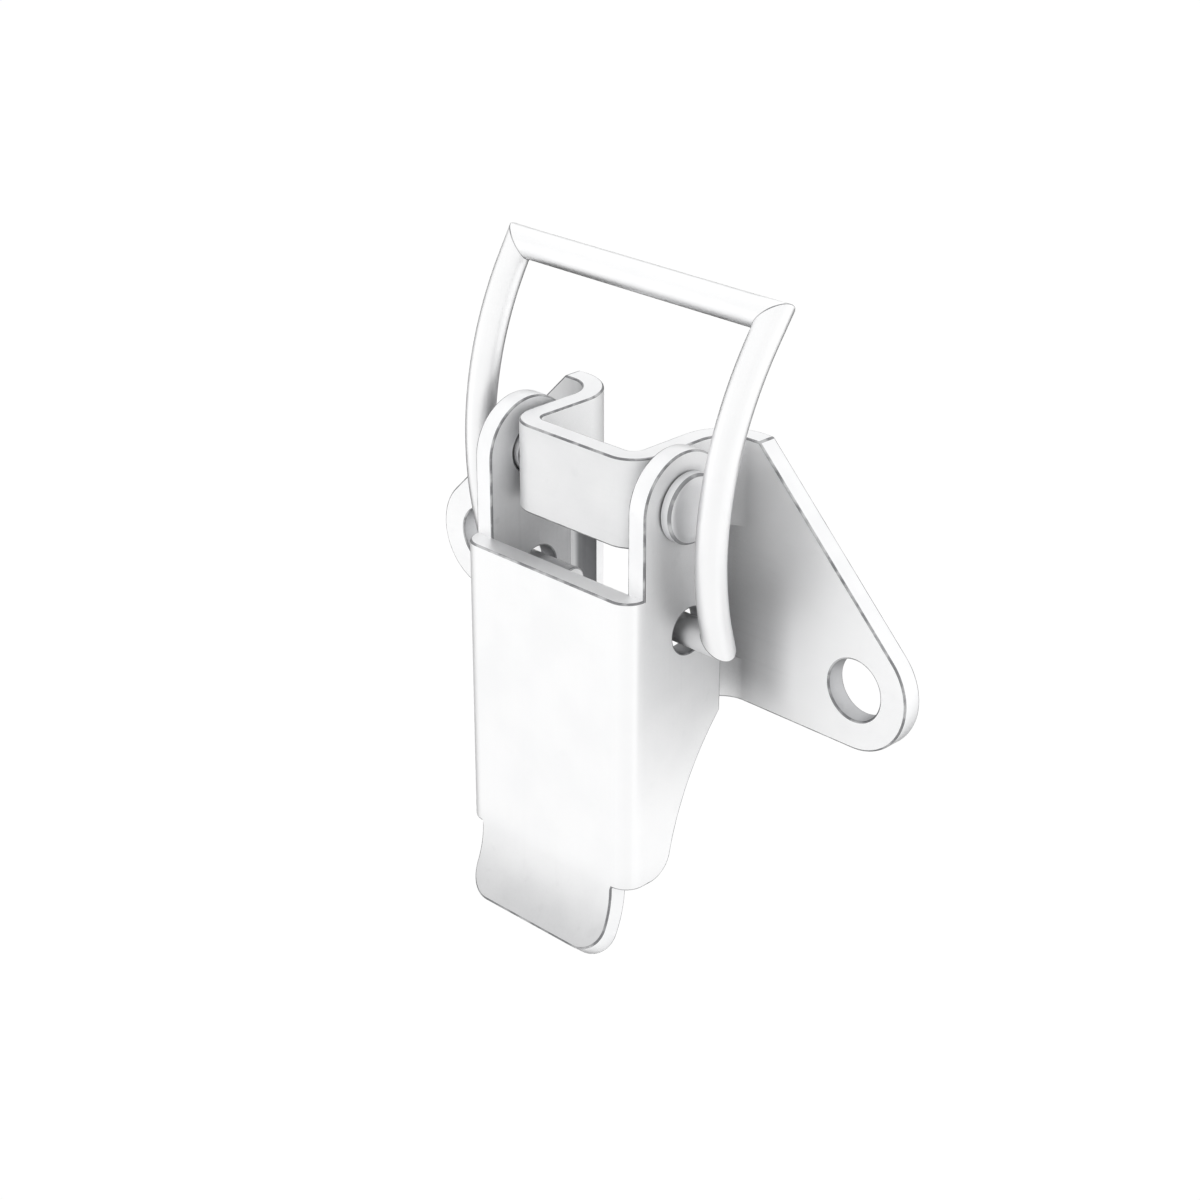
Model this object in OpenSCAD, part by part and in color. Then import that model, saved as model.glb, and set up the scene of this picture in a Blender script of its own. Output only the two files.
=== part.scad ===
// Draw latch: a humped base plate, a channel-shaped lever riveted to it, and a wire bail.
// X runs across the latch, Y runs back into the panel and Z runs up.
// The origin is midway between the two screw holes, on the plate's back face.

/* [Base plate] */
// Thickness of the base plate's sheet
base_t = 1.5; // [1.2:0.1:2]
// Distance between the two screw holes
hole_spacing = 35.5; // [33:0.5:42]
// Diameter of a screw hole
screw_hole_d = 4.3; // [3.2:0.1:5]
// Radius of the round lobe about each screw hole
lobe_r = 4.25; // [3.5:0.25:5.5]
// Height of the plate's top edge above the screw holes
top_rise = 14.9; // [14:0.1:17]
// Width of the straight top edge, before it slopes down to the lobes
top_edge_w = 18; // [17:0.5:21]
// Width of the hump over its side walls
hump_w = 12; // [11:0.5:14]
// Depth of the hump from the plate's back face to its front
hump_depth = 10; // [9.5:0.25:12]
// Outer radius of the two folds at the hump's front
hump_fold_r = 2.25; // [2:0.05:2.6]
// Radius of the hollow where the hump meets the plate
hump_root_r = 2.2; // [1.8:0.1:2.4]
// Height of the band across the top of the hump
upper_band_h = 6.3; // [5:0.1:7]
// Height of the band across the foot of the hump
lower_band_h = 3.1; // [2.5:0.1:4]
// Width of the window through the plate behind the bail's pins
window_w = 11.8; // [11:0.1:12]

/* [Lever] */
// Thickness of the lever's sheet
lever_t = 1.5; // [1.2:0.1:1.6]
// Gap between the hump's side and the lever's side
side_gap = 0.4; // [0.3:0.05:0.6]
// Gap between the hump's front and the lever's front sheet
front_gap = 1; // [0.6:0.1:1.5]
// Outer radius of the lever's two folds
lever_fold_r = 1.5; // [1:0.1:1.5]
// Radius of each ear, which is half the depth of the lever's side
ear_r = 3.75; // [3.5:0.05:4]
// Height of the lever's axis above the screw holes
axis_rise = 11.8; // [11:0.1:12.5]
// Drop from the lever's axis to the top edge of its front sheet
front_drop = 5.5; // [5:0.1:6.5]
// Drop from the lever's axis to the foot of its sides
side_drop = 26.9; // [25:0.1:30]
// Drop from the lever's axis to where its side begins to narrow
sweep_drop = 16.05; // [14:0.05:18]
// Depth of the lever's side at its foot
foot_depth = 4; // [3.5:0.1:5]
// Radius of the hollow sweep up the back of the lever's side
sweep_r = 20.4; // [18:0.2:40]
// Radius of the rounded heel where that sweep meets the foot
heel_r = 2; // [1:0.1:2.5]

/* [Lever tab] */
// Length of the tab that stays straight before it curls
tab_straight = 0.25; // [0.1:0.05:2]
// Radius of the tab's front as it curls forward
tab_curl_r = 7.1; // [5:0.1:12]
// Angle that the tab curls through
tab_curl = 40.5; // [25:0.5:50]
// Radius of the tab's two corners
tab_corner_r = 2.1; // [1:0.1:3]

/* [Bail] */
// Diameter of the bail's wire
wire_d = 2.1; // [1.8:0.05:2.4]
// Diameter of the hole in the lever that each of the bail's pins turns in
pin_hole_d = 3.2; // [2.6:0.1:3.4]
// Drop from the lever's axis to the bail's axis
bail_drop = 9.06; // [8.5:0.02:10]
// How far the bail's axis lies behind the lever's axis
bail_set = 0.6; // [0:0.05:1]
// Distance between the bail's legs at the pins, centre to centre
leg_w = 20.9; // [20.5:0.1:22]
// Distance between the bail's legs at the bar, centre to centre
bar_w = 22.9; // [22:0.1:25]
// Height of the bar above the bail's axis
bail_h = 21.65; // [20:0.05:26]
// How far the bar lies behind the bail's axis
bail_lean = 3.4; // [2:0.1:4]
// Angle that each leg bows through
leg_bow = 54.6; // [46:0.2:58]
// Length of each pin, from the leg's centre to its inner end
pin_l = 7.45; // [5.5:0.05:8]

/* [Rivets] */
// Diameter of a rivet's shoulder, which the lever turns on
rivet_d = 3.2; // [2.8:0.1:3.4]
// Diameter of a rivet's flat head
rivet_head_d = 4.8; // [4.4:0.1:5.4]
// Thickness of a rivet's flat head
rivet_head_t = 0.8; // [0.6:0.05:1]
// Chamfer round a rivet's head
rivet_chamfer = 0.12; // [0.05:0.01:0.2]
// Diameter of the tenon that goes through the hump's side
tenon_d = 1.7; // [1.4:0.1:1.9]
// Diameter of the tail formed inside the hump
tail_d = 2.3; // [2.1:0.05:2.3]
// Thickness of the formed tail
tail_t = 0.55; // [0.4:0.05:0.8]
// Chamfer round the formed tail
tail_chamfer = 0.2; // [0.1:0.05:0.3]

/* [Fits] */
// Radial clearance of the lever's hole on the rivet
running_fit = 0.05; // [0.02:0.01:0.1]
// Gap between a rivet's head and the lever's ear
head_gap = 0.05; // [0.02:0.01:0.1]
// Radial clearance of the hump's hole on the rivet's tenon
seat_fit = 0.02; // [0.01:0.01:0.05]
// Radial clearance of the recess that each rivet's tail sits in
recess_fit = 0.05; // [0.02:0.01:0.05]

/* [Hidden] */
$fn = 96;

// How far a cutting tool runs past the solid it cuts
over = 1;

// Base plate
hole_x = hole_spacing / 2;
base_foot_z = -lobe_r;
hump_x = hump_w / 2;
hump_front_y = -hump_depth;
plate_front_y = -base_t;
root_x = hump_x + hump_root_r;
root_y = plate_front_y - hump_root_r;
window_top_z = top_rise - upper_band_h;
window_foot_z = base_foot_z + lower_band_h;
window_h = window_top_z - window_foot_z;

// Lever
lever_inner_x = hump_x + side_gap;
lever_x = lever_inner_x + lever_t;
lever_inner_y = hump_front_y - front_gap;
lever_front_y = lever_inner_y - lever_t;
lever_back_y = lever_inner_y + 2 * ear_r;
axis_y = lever_inner_y + ear_r;
front_top_z = axis_rise - front_drop;
foot_z = axis_rise - side_drop;
ear_top_z = axis_rise + ear_r;
tab_x = lever_x - lever_fold_r;

// The sweep is the arc of sweep_r from the back edge down to the foot
sweep_top = [lever_back_y, axis_rise - sweep_drop];
sweep_end = [lever_front_y + foot_depth, foot_z];
sweep_c = arc_centre(sweep_top, sweep_end, sweep_r);
heel_c = [
    sweep_c[0] - sqrt(pow(sweep_r + heel_r, 2) - pow(foot_z + heel_r - sweep_c[1], 2)),
    foot_z + heel_r
];
heel_touch = heel_c + heel_r * unit(sweep_c - heel_c);

// Bail
wire_r = wire_d / 2;
bail_y = axis_y + bail_set;
bail_z = axis_rise - bail_drop;
splay = atan2((bar_w - leg_w) / 2, bail_h);
leg_rise = bail_h / cos(splay);
leg_chord = norm([bail_lean, leg_rise]);
leg_tilt = atan2(bail_lean, leg_rise);
bow_r = leg_chord / 2 / sin(leg_bow / 2);
// Each piece of wire runs this far past its corner before the mitre cuts it
mitre_past = 2 * wire_r;
// The straight wires are this much fuller than the bowed legs, so each leg's end lies inside the mitre
mitre_lap = 0.02;
straight_r = wire_r + mitre_lap;
past_turn = mitre_past / bow_r * 180 / PI;
foot_tilt = leg_tilt - leg_bow / 2;
head_tilt = leg_tilt + leg_bow / 2;

// The leg's foot and head in its own plane: how far behind the bail's axis, and how far up the leg
leg_foot = [0, 0];
leg_head = [bail_lean, leg_rise];
foot_way = [sin(foot_tilt), cos(foot_tilt)];
head_way = -[sin(head_tilt), cos(head_tilt)];
bow_c = leg_foot + bow_r * [foot_way[1], -foot_way[0]];

// The mitres at the leg's two ends halve the corner between the leg and the wire that runs inwards
foot_mitre = leg_point(foot_way) - leg_point(leg_foot) + [1, 0, 0];
head_mitre = leg_point(leg_head + head_way) - leg_point(leg_head) + [1, 0, 0];

// The centre, on the far side of the line from a to b, of the arc of radius r through both
function arc_centre(a, b, r) =
    let (half = (b - a) / 2, side = unit([-half[1], half[0]]))
    a + half + side * sqrt(r * r - half * half);

function unit(v) = v / norm(v);

// A point of the right leg's plane, given as how far behind the bail's axis and how far up the leg
function leg_point(p) =
    [leg_w / 2 + p[1] * sin(splay), bail_y + p[0], bail_z + p[1] * cos(splay)];

// The point where a line from p touches the circle about c, on the outer side
function outer_touch(p, c, r) =
    let (gap = norm(c - p), towards = atan2(p[1] - c[1], p[0] - c[0]), turn = acos(r / gap))
    c + r * [cos(towards - turn), sin(towards - turn)];

// Puts a shape drawn in X and Y, and raised in Z, into the Y and Z plane with its height along X
module lie_across() {
    rotate([90, 0, 90]) children();
}

// Everything on the side of the plane through p that the vector n points to
module half_space(p, n) {
    size = 2 * bail_h;
    translate(p)
        rotate([0, acos(n[2] / norm(n)), atan2(n[1], n[0])])
            translate([-size, -size, 0])
                cube([2 * size, 2 * size, 2 * size]);
}

// The sheet's folded section, seen from above
module hump_section() {
    difference() {
        union() {
            translate([-hole_x - lobe_r - over, plate_front_y])
                square([2 * (hole_x + lobe_r + over), base_t]);
            translate([-hump_x, hump_front_y + hump_fold_r])
                square([hump_w, hump_depth - hump_fold_r]);
            translate([-hump_x + hump_fold_r, hump_front_y])
                square([hump_w - 2 * hump_fold_r, hump_fold_r + base_t]);
            for (side = [-1, 1]) {
                translate([side * (hump_x - hump_fold_r), hump_front_y + hump_fold_r])
                    circle(r = hump_fold_r);
                mirror([side < 0 ? 1 : 0, 0])
                    difference() {
                        translate([hump_x - base_t / 2, root_y])
                            square([hump_root_r + base_t / 2, hump_root_r + base_t / 2]);
                        translate([root_x, root_y])
                            circle(r = hump_root_r);
                    }
            }
        }
        hump_hollow();
    }
}

// The hollow inside the hump, which opens out at the back of the plate
module hump_hollow() {
    inner_r = hump_fold_r - base_t;
    inner_x = hump_x - base_t;
    inner_y = hump_front_y + base_t;
    translate([-inner_x, inner_y + inner_r])
        square([2 * inner_x, -inner_y - inner_r + over]);
    translate([-inner_x + inner_r, inner_y])
        square([2 * (inner_x - inner_r), 2 * inner_r]);
    for (side = [-1, 1]) {
        translate([side * (inner_x - inner_r), inner_y + inner_r])
            circle(r = inner_r);
        mirror([side < 0 ? 1 : 0, 0])
            difference() {
                translate([inner_x - over, root_y])
                    square([hump_root_r + base_t + over, -root_y + over]);
                translate([root_x, root_y])
                    circle(r = hump_root_r + base_t);
            }
    }
}

// A block with the plate's outline, seen from the front, that is deep enough for the hump
module plate_block() {
    depth = hump_depth + 2 * over;
    shoulder_x = top_edge_w / 2;
    touch = outer_touch([shoulder_x, top_rise], [hole_x, 0], lobe_r);
    translate([0, over, 0])
        rotate([90, 0, 0]) {
            linear_extrude(depth)
                polygon([
                    [-shoulder_x, top_rise],
                    [shoulder_x, top_rise],
                    touch,
                    [hole_x, base_foot_z],
                    [-hole_x, base_foot_z],
                    [-touch[0], touch[1]]
                ]);
            for (side = [-1, 1])
                translate([side * hole_x, 0, 0])
                    cylinder(h = depth, r = lobe_r);
        }
}

// What is cut from the right side of the hump: the tenon's hole, and a recess in the fold for the tail
module rivet_seat() {
    recess_x = hump_x - base_t;
    translate([recess_x - over / 2, axis_y, axis_rise])
        rotate([0, 90, 0])
            cylinder(h = base_t + over, r = tenon_d / 2 + seat_fit);
    translate([recess_x - tail_t - recess_fit, axis_y, axis_rise])
        rotate([0, 90, 0])
            cylinder(h = tail_t + recess_fit, r = tail_d / 2 + recess_fit);
}

module base_plate() {
    color([0.86, 0.87, 0.88])
        difference() {
            intersection() {
                translate([0, 0, base_foot_z])
                    linear_extrude(top_rise - base_foot_z)
                        hump_section();
                plate_block();
            }
            // The hump is open from side to side between its two bands
            translate([-root_x - over, hump_front_y - over, window_foot_z])
                cube([2 * (root_x + over), hump_depth - base_t + over, window_h]);
            translate([-window_w / 2, hump_front_y - over, window_foot_z])
                cube([window_w, hump_depth + 2 * over, window_h]);
            for (side = [-1, 1])
                translate([side * hole_x, plate_front_y - over, 0])
                    rotate([-90, 0, 0])
                        cylinder(h = base_t + 2 * over, d = screw_hole_d);
            for (side = [-1, 1])
                mirror([side < 0 ? 1 : 0, 0, 0])
                    rivet_seat();
        }
}

// The channel's section, seen from above
module channel_section() {
    difference() {
        union() {
            translate([-lever_x, lever_front_y + lever_fold_r])
                square([2 * lever_x, lever_back_y - lever_front_y - lever_fold_r]);
            translate([-tab_x, lever_front_y])
                square([2 * tab_x, lever_t]);
            for (side = [-1, 1])
                translate([side * tab_x, lever_front_y + lever_fold_r])
                    circle(r = lever_fold_r);
        }
        translate([-lever_inner_x, lever_inner_y])
            square([2 * lever_inner_x, 2 * ear_r + over]);
    }
}

// The lever's side, with Y to the right and Z up
module side_outline() {
    translate([axis_y, axis_rise])
        circle(r = ear_r);
    difference() {
        translate([lever_front_y, foot_z])
            square([lever_back_y - lever_front_y, side_drop]);
        intersection() {
            translate(sweep_c)
                circle(r = sweep_r);
            translate([lever_front_y, foot_z - over])
                square([2 * sweep_r, sweep_top[1] - foot_z + over]);
        }
        difference() {
            polygon([[heel_c[0], foot_z], [sweep_end[0] + over, foot_z], heel_touch, heel_c]);
            translate(heel_c)
                circle(r = heel_r);
        }
    }
}

// The tab that curls forward below the front sheet, with its two corners rounded
module lever_tab() {
    translate([-tab_x, lever_front_y, foot_z - tab_straight])
        cube([2 * tab_x, lever_t, tab_straight + over]);
    translate([0, lever_front_y - tab_curl_r, foot_z - tab_straight])
        rotate([-tab_curl, 0, 0])
            difference() {
                lie_across()
                    translate([0, 0, -tab_x])
                        rotate_extrude(angle = tab_curl)
                            translate([tab_curl_r, 0])
                                square([lever_t, 2 * tab_x]);
                for (side = [-1, 1])
                    mirror([side < 0 ? 1 : 0, 0, 0])
                        translate([tab_x - tab_corner_r, tab_curl_r - over, tab_corner_r])
                            rotate([-90, 0, 0])
                                linear_extrude(lever_t + 2 * over)
                                    difference() {
                                        square([tab_corner_r + over, tab_corner_r + over]);
                                        circle(r = tab_corner_r);
                                    }
            }
}

module lever() {
    color([0.9, 0.91, 0.92])
        difference() {
            union() {
                intersection() {
                    translate([0, 0, foot_z])
                        linear_extrude(ear_top_z - foot_z)
                            channel_section();
                    translate([-lever_x - over, 0, 0])
                        lie_across()
                            linear_extrude(2 * (lever_x + over))
                                side_outline();
                }
                lever_tab();
            }
            // The front sheet and its folds stop short of the ears
            translate([-lever_x - over, lever_front_y - over, front_top_z])
                cube([2 * (lever_x + over), lever_t + over, ear_top_z - front_top_z + over]);
            translate([-lever_x - over, axis_y, axis_rise])
                rotate([0, 90, 0])
                    cylinder(h = 2 * (lever_x + over), r = rivet_d / 2 + running_fit);
            translate([-lever_x - over, bail_y, bail_z])
                rotate([0, 90, 0])
                    cylinder(h = 2 * (lever_x + over), d = pin_hole_d);
        }
}

// The right leg, which bows forward and is cut to a mitre at each end
module bail_leg() {
    intersection() {
        translate(leg_point(leg_foot))
            rotate([0, splay, 0])
                lie_across()
                    translate(bow_c)
                        rotate([0, 0, 180 - head_tilt - past_turn])
                            rotate_extrude(angle = leg_bow + 2 * past_turn)
                                translate([bow_r, 0])
                                    circle(r = wire_r);
        half_space(leg_point(leg_foot), foot_mitre);
        half_space(leg_point(leg_head), head_mitre);
    }
}

// The right pin, which points inwards from the foot of the leg
module bail_pin() {
    difference() {
        translate(leg_point(leg_foot) - [pin_l, 0, 0])
            rotate([0, 90, 0])
                cylinder(h = pin_l + mitre_past, r = straight_r);
        half_space(leg_point(leg_foot), foot_mitre);
    }
}

// The bar across the top, from one leg to the other
module bail_bar() {
    difference() {
        translate(leg_point(leg_head) - [bar_w + mitre_past, 0, 0])
            rotate([0, 90, 0])
                cylinder(h = bar_w + 2 * mitre_past, r = straight_r);
        for (side = [-1, 1])
            mirror([side < 0 ? 1 : 0, 0, 0])
                half_space(leg_point(leg_head), head_mitre);
    }
}

module bail() {
    color([0.82, 0.83, 0.84])
        union() {
            bail_bar();
            for (side = [-1, 1])
                mirror([side < 0 ? 1 : 0, 0, 0]) {
                    bail_leg();
                    bail_pin();
                }
        }
}

// The right rivet, turned about its own axis: a flat head outside the lever, a shoulder that the
// lever turns on, a tenon through the hump's side, and a tail formed inside the hump
module rivet() {
    head_x = lever_x + head_gap;
    head_end_x = head_x + rivet_head_t;
    tail_x = hump_x - base_t;
    tail_end_x = tail_x - tail_t;
    head_r = rivet_head_d / 2;
    shoulder_r = rivet_d / 2;
    tenon_r = tenon_d / 2;
    tail_r = tail_d / 2;
    color([0.8, 0.81, 0.82])
        translate([0, axis_y, axis_rise])
            rotate([0, 90, 0])
                rotate_extrude()
                    polygon([
                        [0, tail_end_x],
                        [tail_r - tail_chamfer, tail_end_x],
                        [tail_r, tail_end_x + tail_chamfer],
                        [tail_r, tail_x],
                        [tenon_r, tail_x],
                        [tenon_r, hump_x],
                        [shoulder_r, hump_x],
                        [shoulder_r, head_x],
                        [head_r, head_x],
                        [head_r, head_end_x - rivet_chamfer],
                        [head_r - rivet_chamfer, head_end_x],
                        [0, head_end_x]
                    ]);
}

module left_rivet() {
    mirror([1, 0, 0]) rivet();
}

module right_rivet() {
    rivet();
}

base_plate();
lever();
bail();
left_rivet();
right_rivet();
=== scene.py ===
"""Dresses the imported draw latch: satin zinc-plated sheet, drawn wire and set rivets, in a plain white studio.

Every piece is modelled again with rolled edges, in the row frame and in metres, and stands for its solid.
Sizes are in millimetres, and the same as the solids'.
"""

from __future__ import annotations

import logging
import math
from collections.abc import Callable, Iterable
from dataclasses import dataclass, field
from enum import Enum

import bmesh
import bpy
from bmesh.types import BMEdge, BMesh, BMFace, BMVert
from mathutils import Matrix, Vector

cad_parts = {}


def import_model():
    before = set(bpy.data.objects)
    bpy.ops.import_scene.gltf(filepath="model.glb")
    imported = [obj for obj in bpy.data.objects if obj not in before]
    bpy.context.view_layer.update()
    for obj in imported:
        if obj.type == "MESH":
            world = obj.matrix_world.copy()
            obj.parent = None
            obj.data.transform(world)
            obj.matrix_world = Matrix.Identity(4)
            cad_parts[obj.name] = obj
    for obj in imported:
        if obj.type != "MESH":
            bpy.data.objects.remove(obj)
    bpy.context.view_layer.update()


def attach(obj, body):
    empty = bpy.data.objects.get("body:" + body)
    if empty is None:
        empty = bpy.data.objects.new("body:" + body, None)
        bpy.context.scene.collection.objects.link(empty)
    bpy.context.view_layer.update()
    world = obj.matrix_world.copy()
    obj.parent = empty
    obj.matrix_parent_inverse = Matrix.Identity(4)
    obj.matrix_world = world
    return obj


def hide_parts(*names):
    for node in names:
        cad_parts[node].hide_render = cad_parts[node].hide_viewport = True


LOG = logging.getLogger("latch")
MM = 0.001
EDGE_MARK = "edge_mark"
WIRE_PLACE = "wire_place"
X_AXIS, Y_AXIS, Z_AXIS = Vector((1, 0, 0)), Vector((0, 1, 0)), Vector((0, 0, 1))
HINGE_MM = (-7.25, 11.8)
PIN_MM = (-6.65, 2.74)
WHITE = (1.0, 1.0, 1.0)
CORNER_STEPS = 24
ROLL_STEPS = 3
CREASE_STEPS = 2
MERGE = 0.001 * MM
FACING = 0.95
LEVEL_MM = 0.02
NODE_WIDTH, NODE_HEIGHT = 190, 170
SHARP_FROM = math.radians(30)
SMOOTH_UP_TO = math.radians(38)

Socket = bpy.types.NodeSocket
Colour = tuple[float, float, float]
Pair = tuple[float, float]


class Side(Enum):
    """The latch's two sides, as the sign of X."""

    LEFT = -1
    RIGHT = 1


class Grain(Enum):
    """The way that the fine lines in the metal run."""

    ACROSS = (0.02, 1.0, 1.0)
    BACK = (1.0, 0.05, 1.0)
    UP = (1.0, 1.0, 0.02)


class Reach(Enum):
    """The way towards the end that is painted darker."""

    LEFT = (-1.0, 0.0, 0.0)
    FORWARD = (0.0, -1.0, 0.0)
    DOWN = (0.0, 0.0, -1.0)


class Surface(Enum):
    """The kinds of face on a folded sheet, by material slot."""

    FACE = 0
    CUT_EDGE = 1
    # Painted shade: a darker finish for the lever's inner walls and the left window cut.
    PAINTED_SHADE = 2
    BORE = 3


class Join(Enum):
    """How a cutter or an added part meets the blank."""

    KEEP_INSIDE = "INTERSECT"
    CUT = "DIFFERENCE"
    ADD = "UNION"


def mm(*values: float) -> Vector:
    """Gives a vector in metres from its parts in millimetres."""
    return Vector(values) * MM


# Shader building


class NodeBench:
    """Places and joins nodes in one tree, from left to right."""

    def __init__(self, tree: bpy.types.NodeTree) -> None:
        """Starts on a tree, which is emptied.

        Args:
            tree: The node tree to build in.
        """
        self.tree = tree
        self.column = 0
        tree.nodes.clear()

    def add(self, kind: str, **settings: object) -> bpy.types.Node:
        """Adds a node and sets its properties.

        Args:
            kind: The node's type name, such as ShaderNodeMath.
            settings: Properties of the node, by name.

        Returns:
            The new node.
        """
        node = self.tree.nodes.new(kind)
        node.location = (self.column * NODE_WIDTH, -(self.column % 3) * NODE_HEIGHT)
        self.column += 1
        for name, value in settings.items():
            setattr(node, name, value)
        return node

    def feed(self, slot: Socket, value: Socket | float | Iterable[float]) -> None:
        """Joins an output to an input, or sets the input to a number, a vector or a colour.

        Args:
            slot: The input.
            value: The output, or the value. A colour is given as three numbers.
        """
        if isinstance(value, Socket):
            self.tree.links.new(value, slot)
        elif slot.type == "RGBA":
            slot.default_value = (*value, 1)
        else:
            slot.default_value = value

    def filled(self, kind: str, inputs: dict[str, object], **settings: object) -> bpy.types.Node:
        """Adds a node with its named inputs joined or set.

        Args:
            kind: The node's type name.
            inputs: What each input is fed, by its name.
            settings: Properties of the node, by name.

        Returns:
            The new node.
        """
        node = self.add(kind, **settings)
        for name, value in inputs.items():
            self.feed(node.inputs[name], value)
        return node

    def effect(self, group: bpy.types.NodeTree, inputs: dict[str, object]) -> bpy.types.NodeOutputs:
        """Places a shader group with its own values, and gives its outputs."""
        return self.filled("ShaderNodeGroup", inputs, node_tree=group).outputs

    def maths(self, kind: str, *values: Socket | float, clamp: bool = False) -> Socket:
        """Adds a maths node.

        Args:
            kind: The operation, such as MULTIPLY.
            values: Its inputs, each a socket or a number.
            clamp: Whether the result is held from 0 to 1.

        Returns:
            The node's output.
        """
        node = self.add("ShaderNodeMath", operation=kind, use_clamp=clamp)
        for slot, value in zip(node.inputs, values):
            self.feed(slot, value)
        return node.outputs[0]

    def product(self, *values: Socket | float) -> Socket:
        """Multiplies two or more values together.

        Args:
            values: The values, each a socket or a number.

        Returns:
            Their product.
        """
        made = values[0]
        for value in values[1:]:
            made = self.maths("MULTIPLY", made, value)
        return made

    def vectors(self, kind: str, *values: Socket | Iterable[float]) -> bpy.types.NodeOutputs:
        """Adds a vector maths node.

        Args:
            kind: The operation, such as SUBTRACT.
            values: Its inputs, each a socket or a vector.

        Returns:
            The node's outputs.
        """
        node = self.add("ShaderNodeVectorMath", operation=kind)
        for slot, value in zip(node.inputs, values):
            self.feed(slot, value)
        return node.outputs

    def split(self, vector: Socket) -> bpy.types.NodeOutputs:
        """Splits a vector, and gives its X, Y and Z outputs."""
        return self.filled("ShaderNodeSeparateXYZ", {"Vector": vector}).outputs

    def off_axis(self, vector: Socket) -> Socket:
        """Works out how far a place is from the X axis.

        Args:
            vector: The place.

        Returns:
            The distance.
        """
        parts = self.split(vector)
        flat = self.filled("ShaderNodeCombineXYZ", {"Y": parts["Y"], "Z": parts["Z"]})
        return self.vectors("LENGTH", flat.outputs[0])["Value"]

    def attribute(self, name: str) -> bpy.types.NodeOutputs:
        """Reads one of the mesh's own attributes, and gives the node's outputs."""
        return self.add("ShaderNodeAttribute", attribute_name=name, attribute_type="GEOMETRY").outputs

    def noise(self, vector: Socket, scale: Socket | float, detail: float) -> Socket:
        """Adds a noise texture.

        Args:
            vector: The place it is read at.
            scale: Its scale.
            detail: Its detail.

        Returns:
            Its Fac output.
        """
        inputs = {"Vector": vector, "Scale": scale, "Detail": detail}
        return self.filled("ShaderNodeTexNoise", inputs, noise_dimensions="3D").outputs["Fac"]

    def step(self, value: Socket, low: Socket | float, high: Socket | float) -> Socket:
        """Adds a smooth step.

        Args:
            value: The value it reads.
            low: Where it starts to rise from 0.
            high: Where it reaches 1.

        Returns:
            The step's output.
        """
        inputs = {"Value": value, "From Min": low, "From Max": high}
        return self.filled("ShaderNodeMapRange", inputs, interpolation_type="SMOOTHSTEP").outputs["Result"]

    def blend(self, amount: Socket | float, first: Socket | Colour, second: Socket | Colour) -> Socket:
        """Adds a colour mix.

        Args:
            amount: The share of the second colour.
            first: The first colour.
            second: The second colour.

        Returns:
            The mixed colour.
        """
        node = self.add("ShaderNodeMix", data_type="RGBA")
        for slot, value in ((node.inputs[0], amount), (node.inputs[6], first), (node.inputs[7], second)):
            self.feed(slot, value)
        return node.outputs[2]


class GroupBench(NodeBench):
    """A bench for one shader group, with named inputs and outputs."""

    def __init__(self, name: str, inputs: dict[str, float | Vector | Colour]) -> None:
        """Starts a group and gives it its inputs.

        Args:
            name: The group's name.
            inputs: The default value of each input, by its name: a number, a vector or a colour.
        """
        super().__init__(bpy.data.node_groups.new(name, "ShaderNodeTree"))
        for title, value in inputs.items():
            kind = {float: "Float", Vector: "Vector", tuple: "Color"}[type(value)]
            made = self.tree.interface.new_socket(name=title, in_out="INPUT", socket_type=f"NodeSocket{kind}")
            made.default_value = (*value, 1) if kind == "Color" else value
        self.given = self.add("NodeGroupInput").outputs

    def close(self, outputs: dict[str, Socket]) -> bpy.types.NodeTree:
        """Gives the group its outputs.

        Args:
            outputs: What leaves by each output, by its name.

        Returns:
            The finished group.
        """
        for title, value in outputs.items():
            kind = "Color" if value.type == "RGBA" else "Float"
            self.tree.interface.new_socket(name=title, in_out="OUTPUT", socket_type=f"NodeSocket{kind}")
        self.filled("NodeGroupOutput", outputs)
        return self.tree


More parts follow.
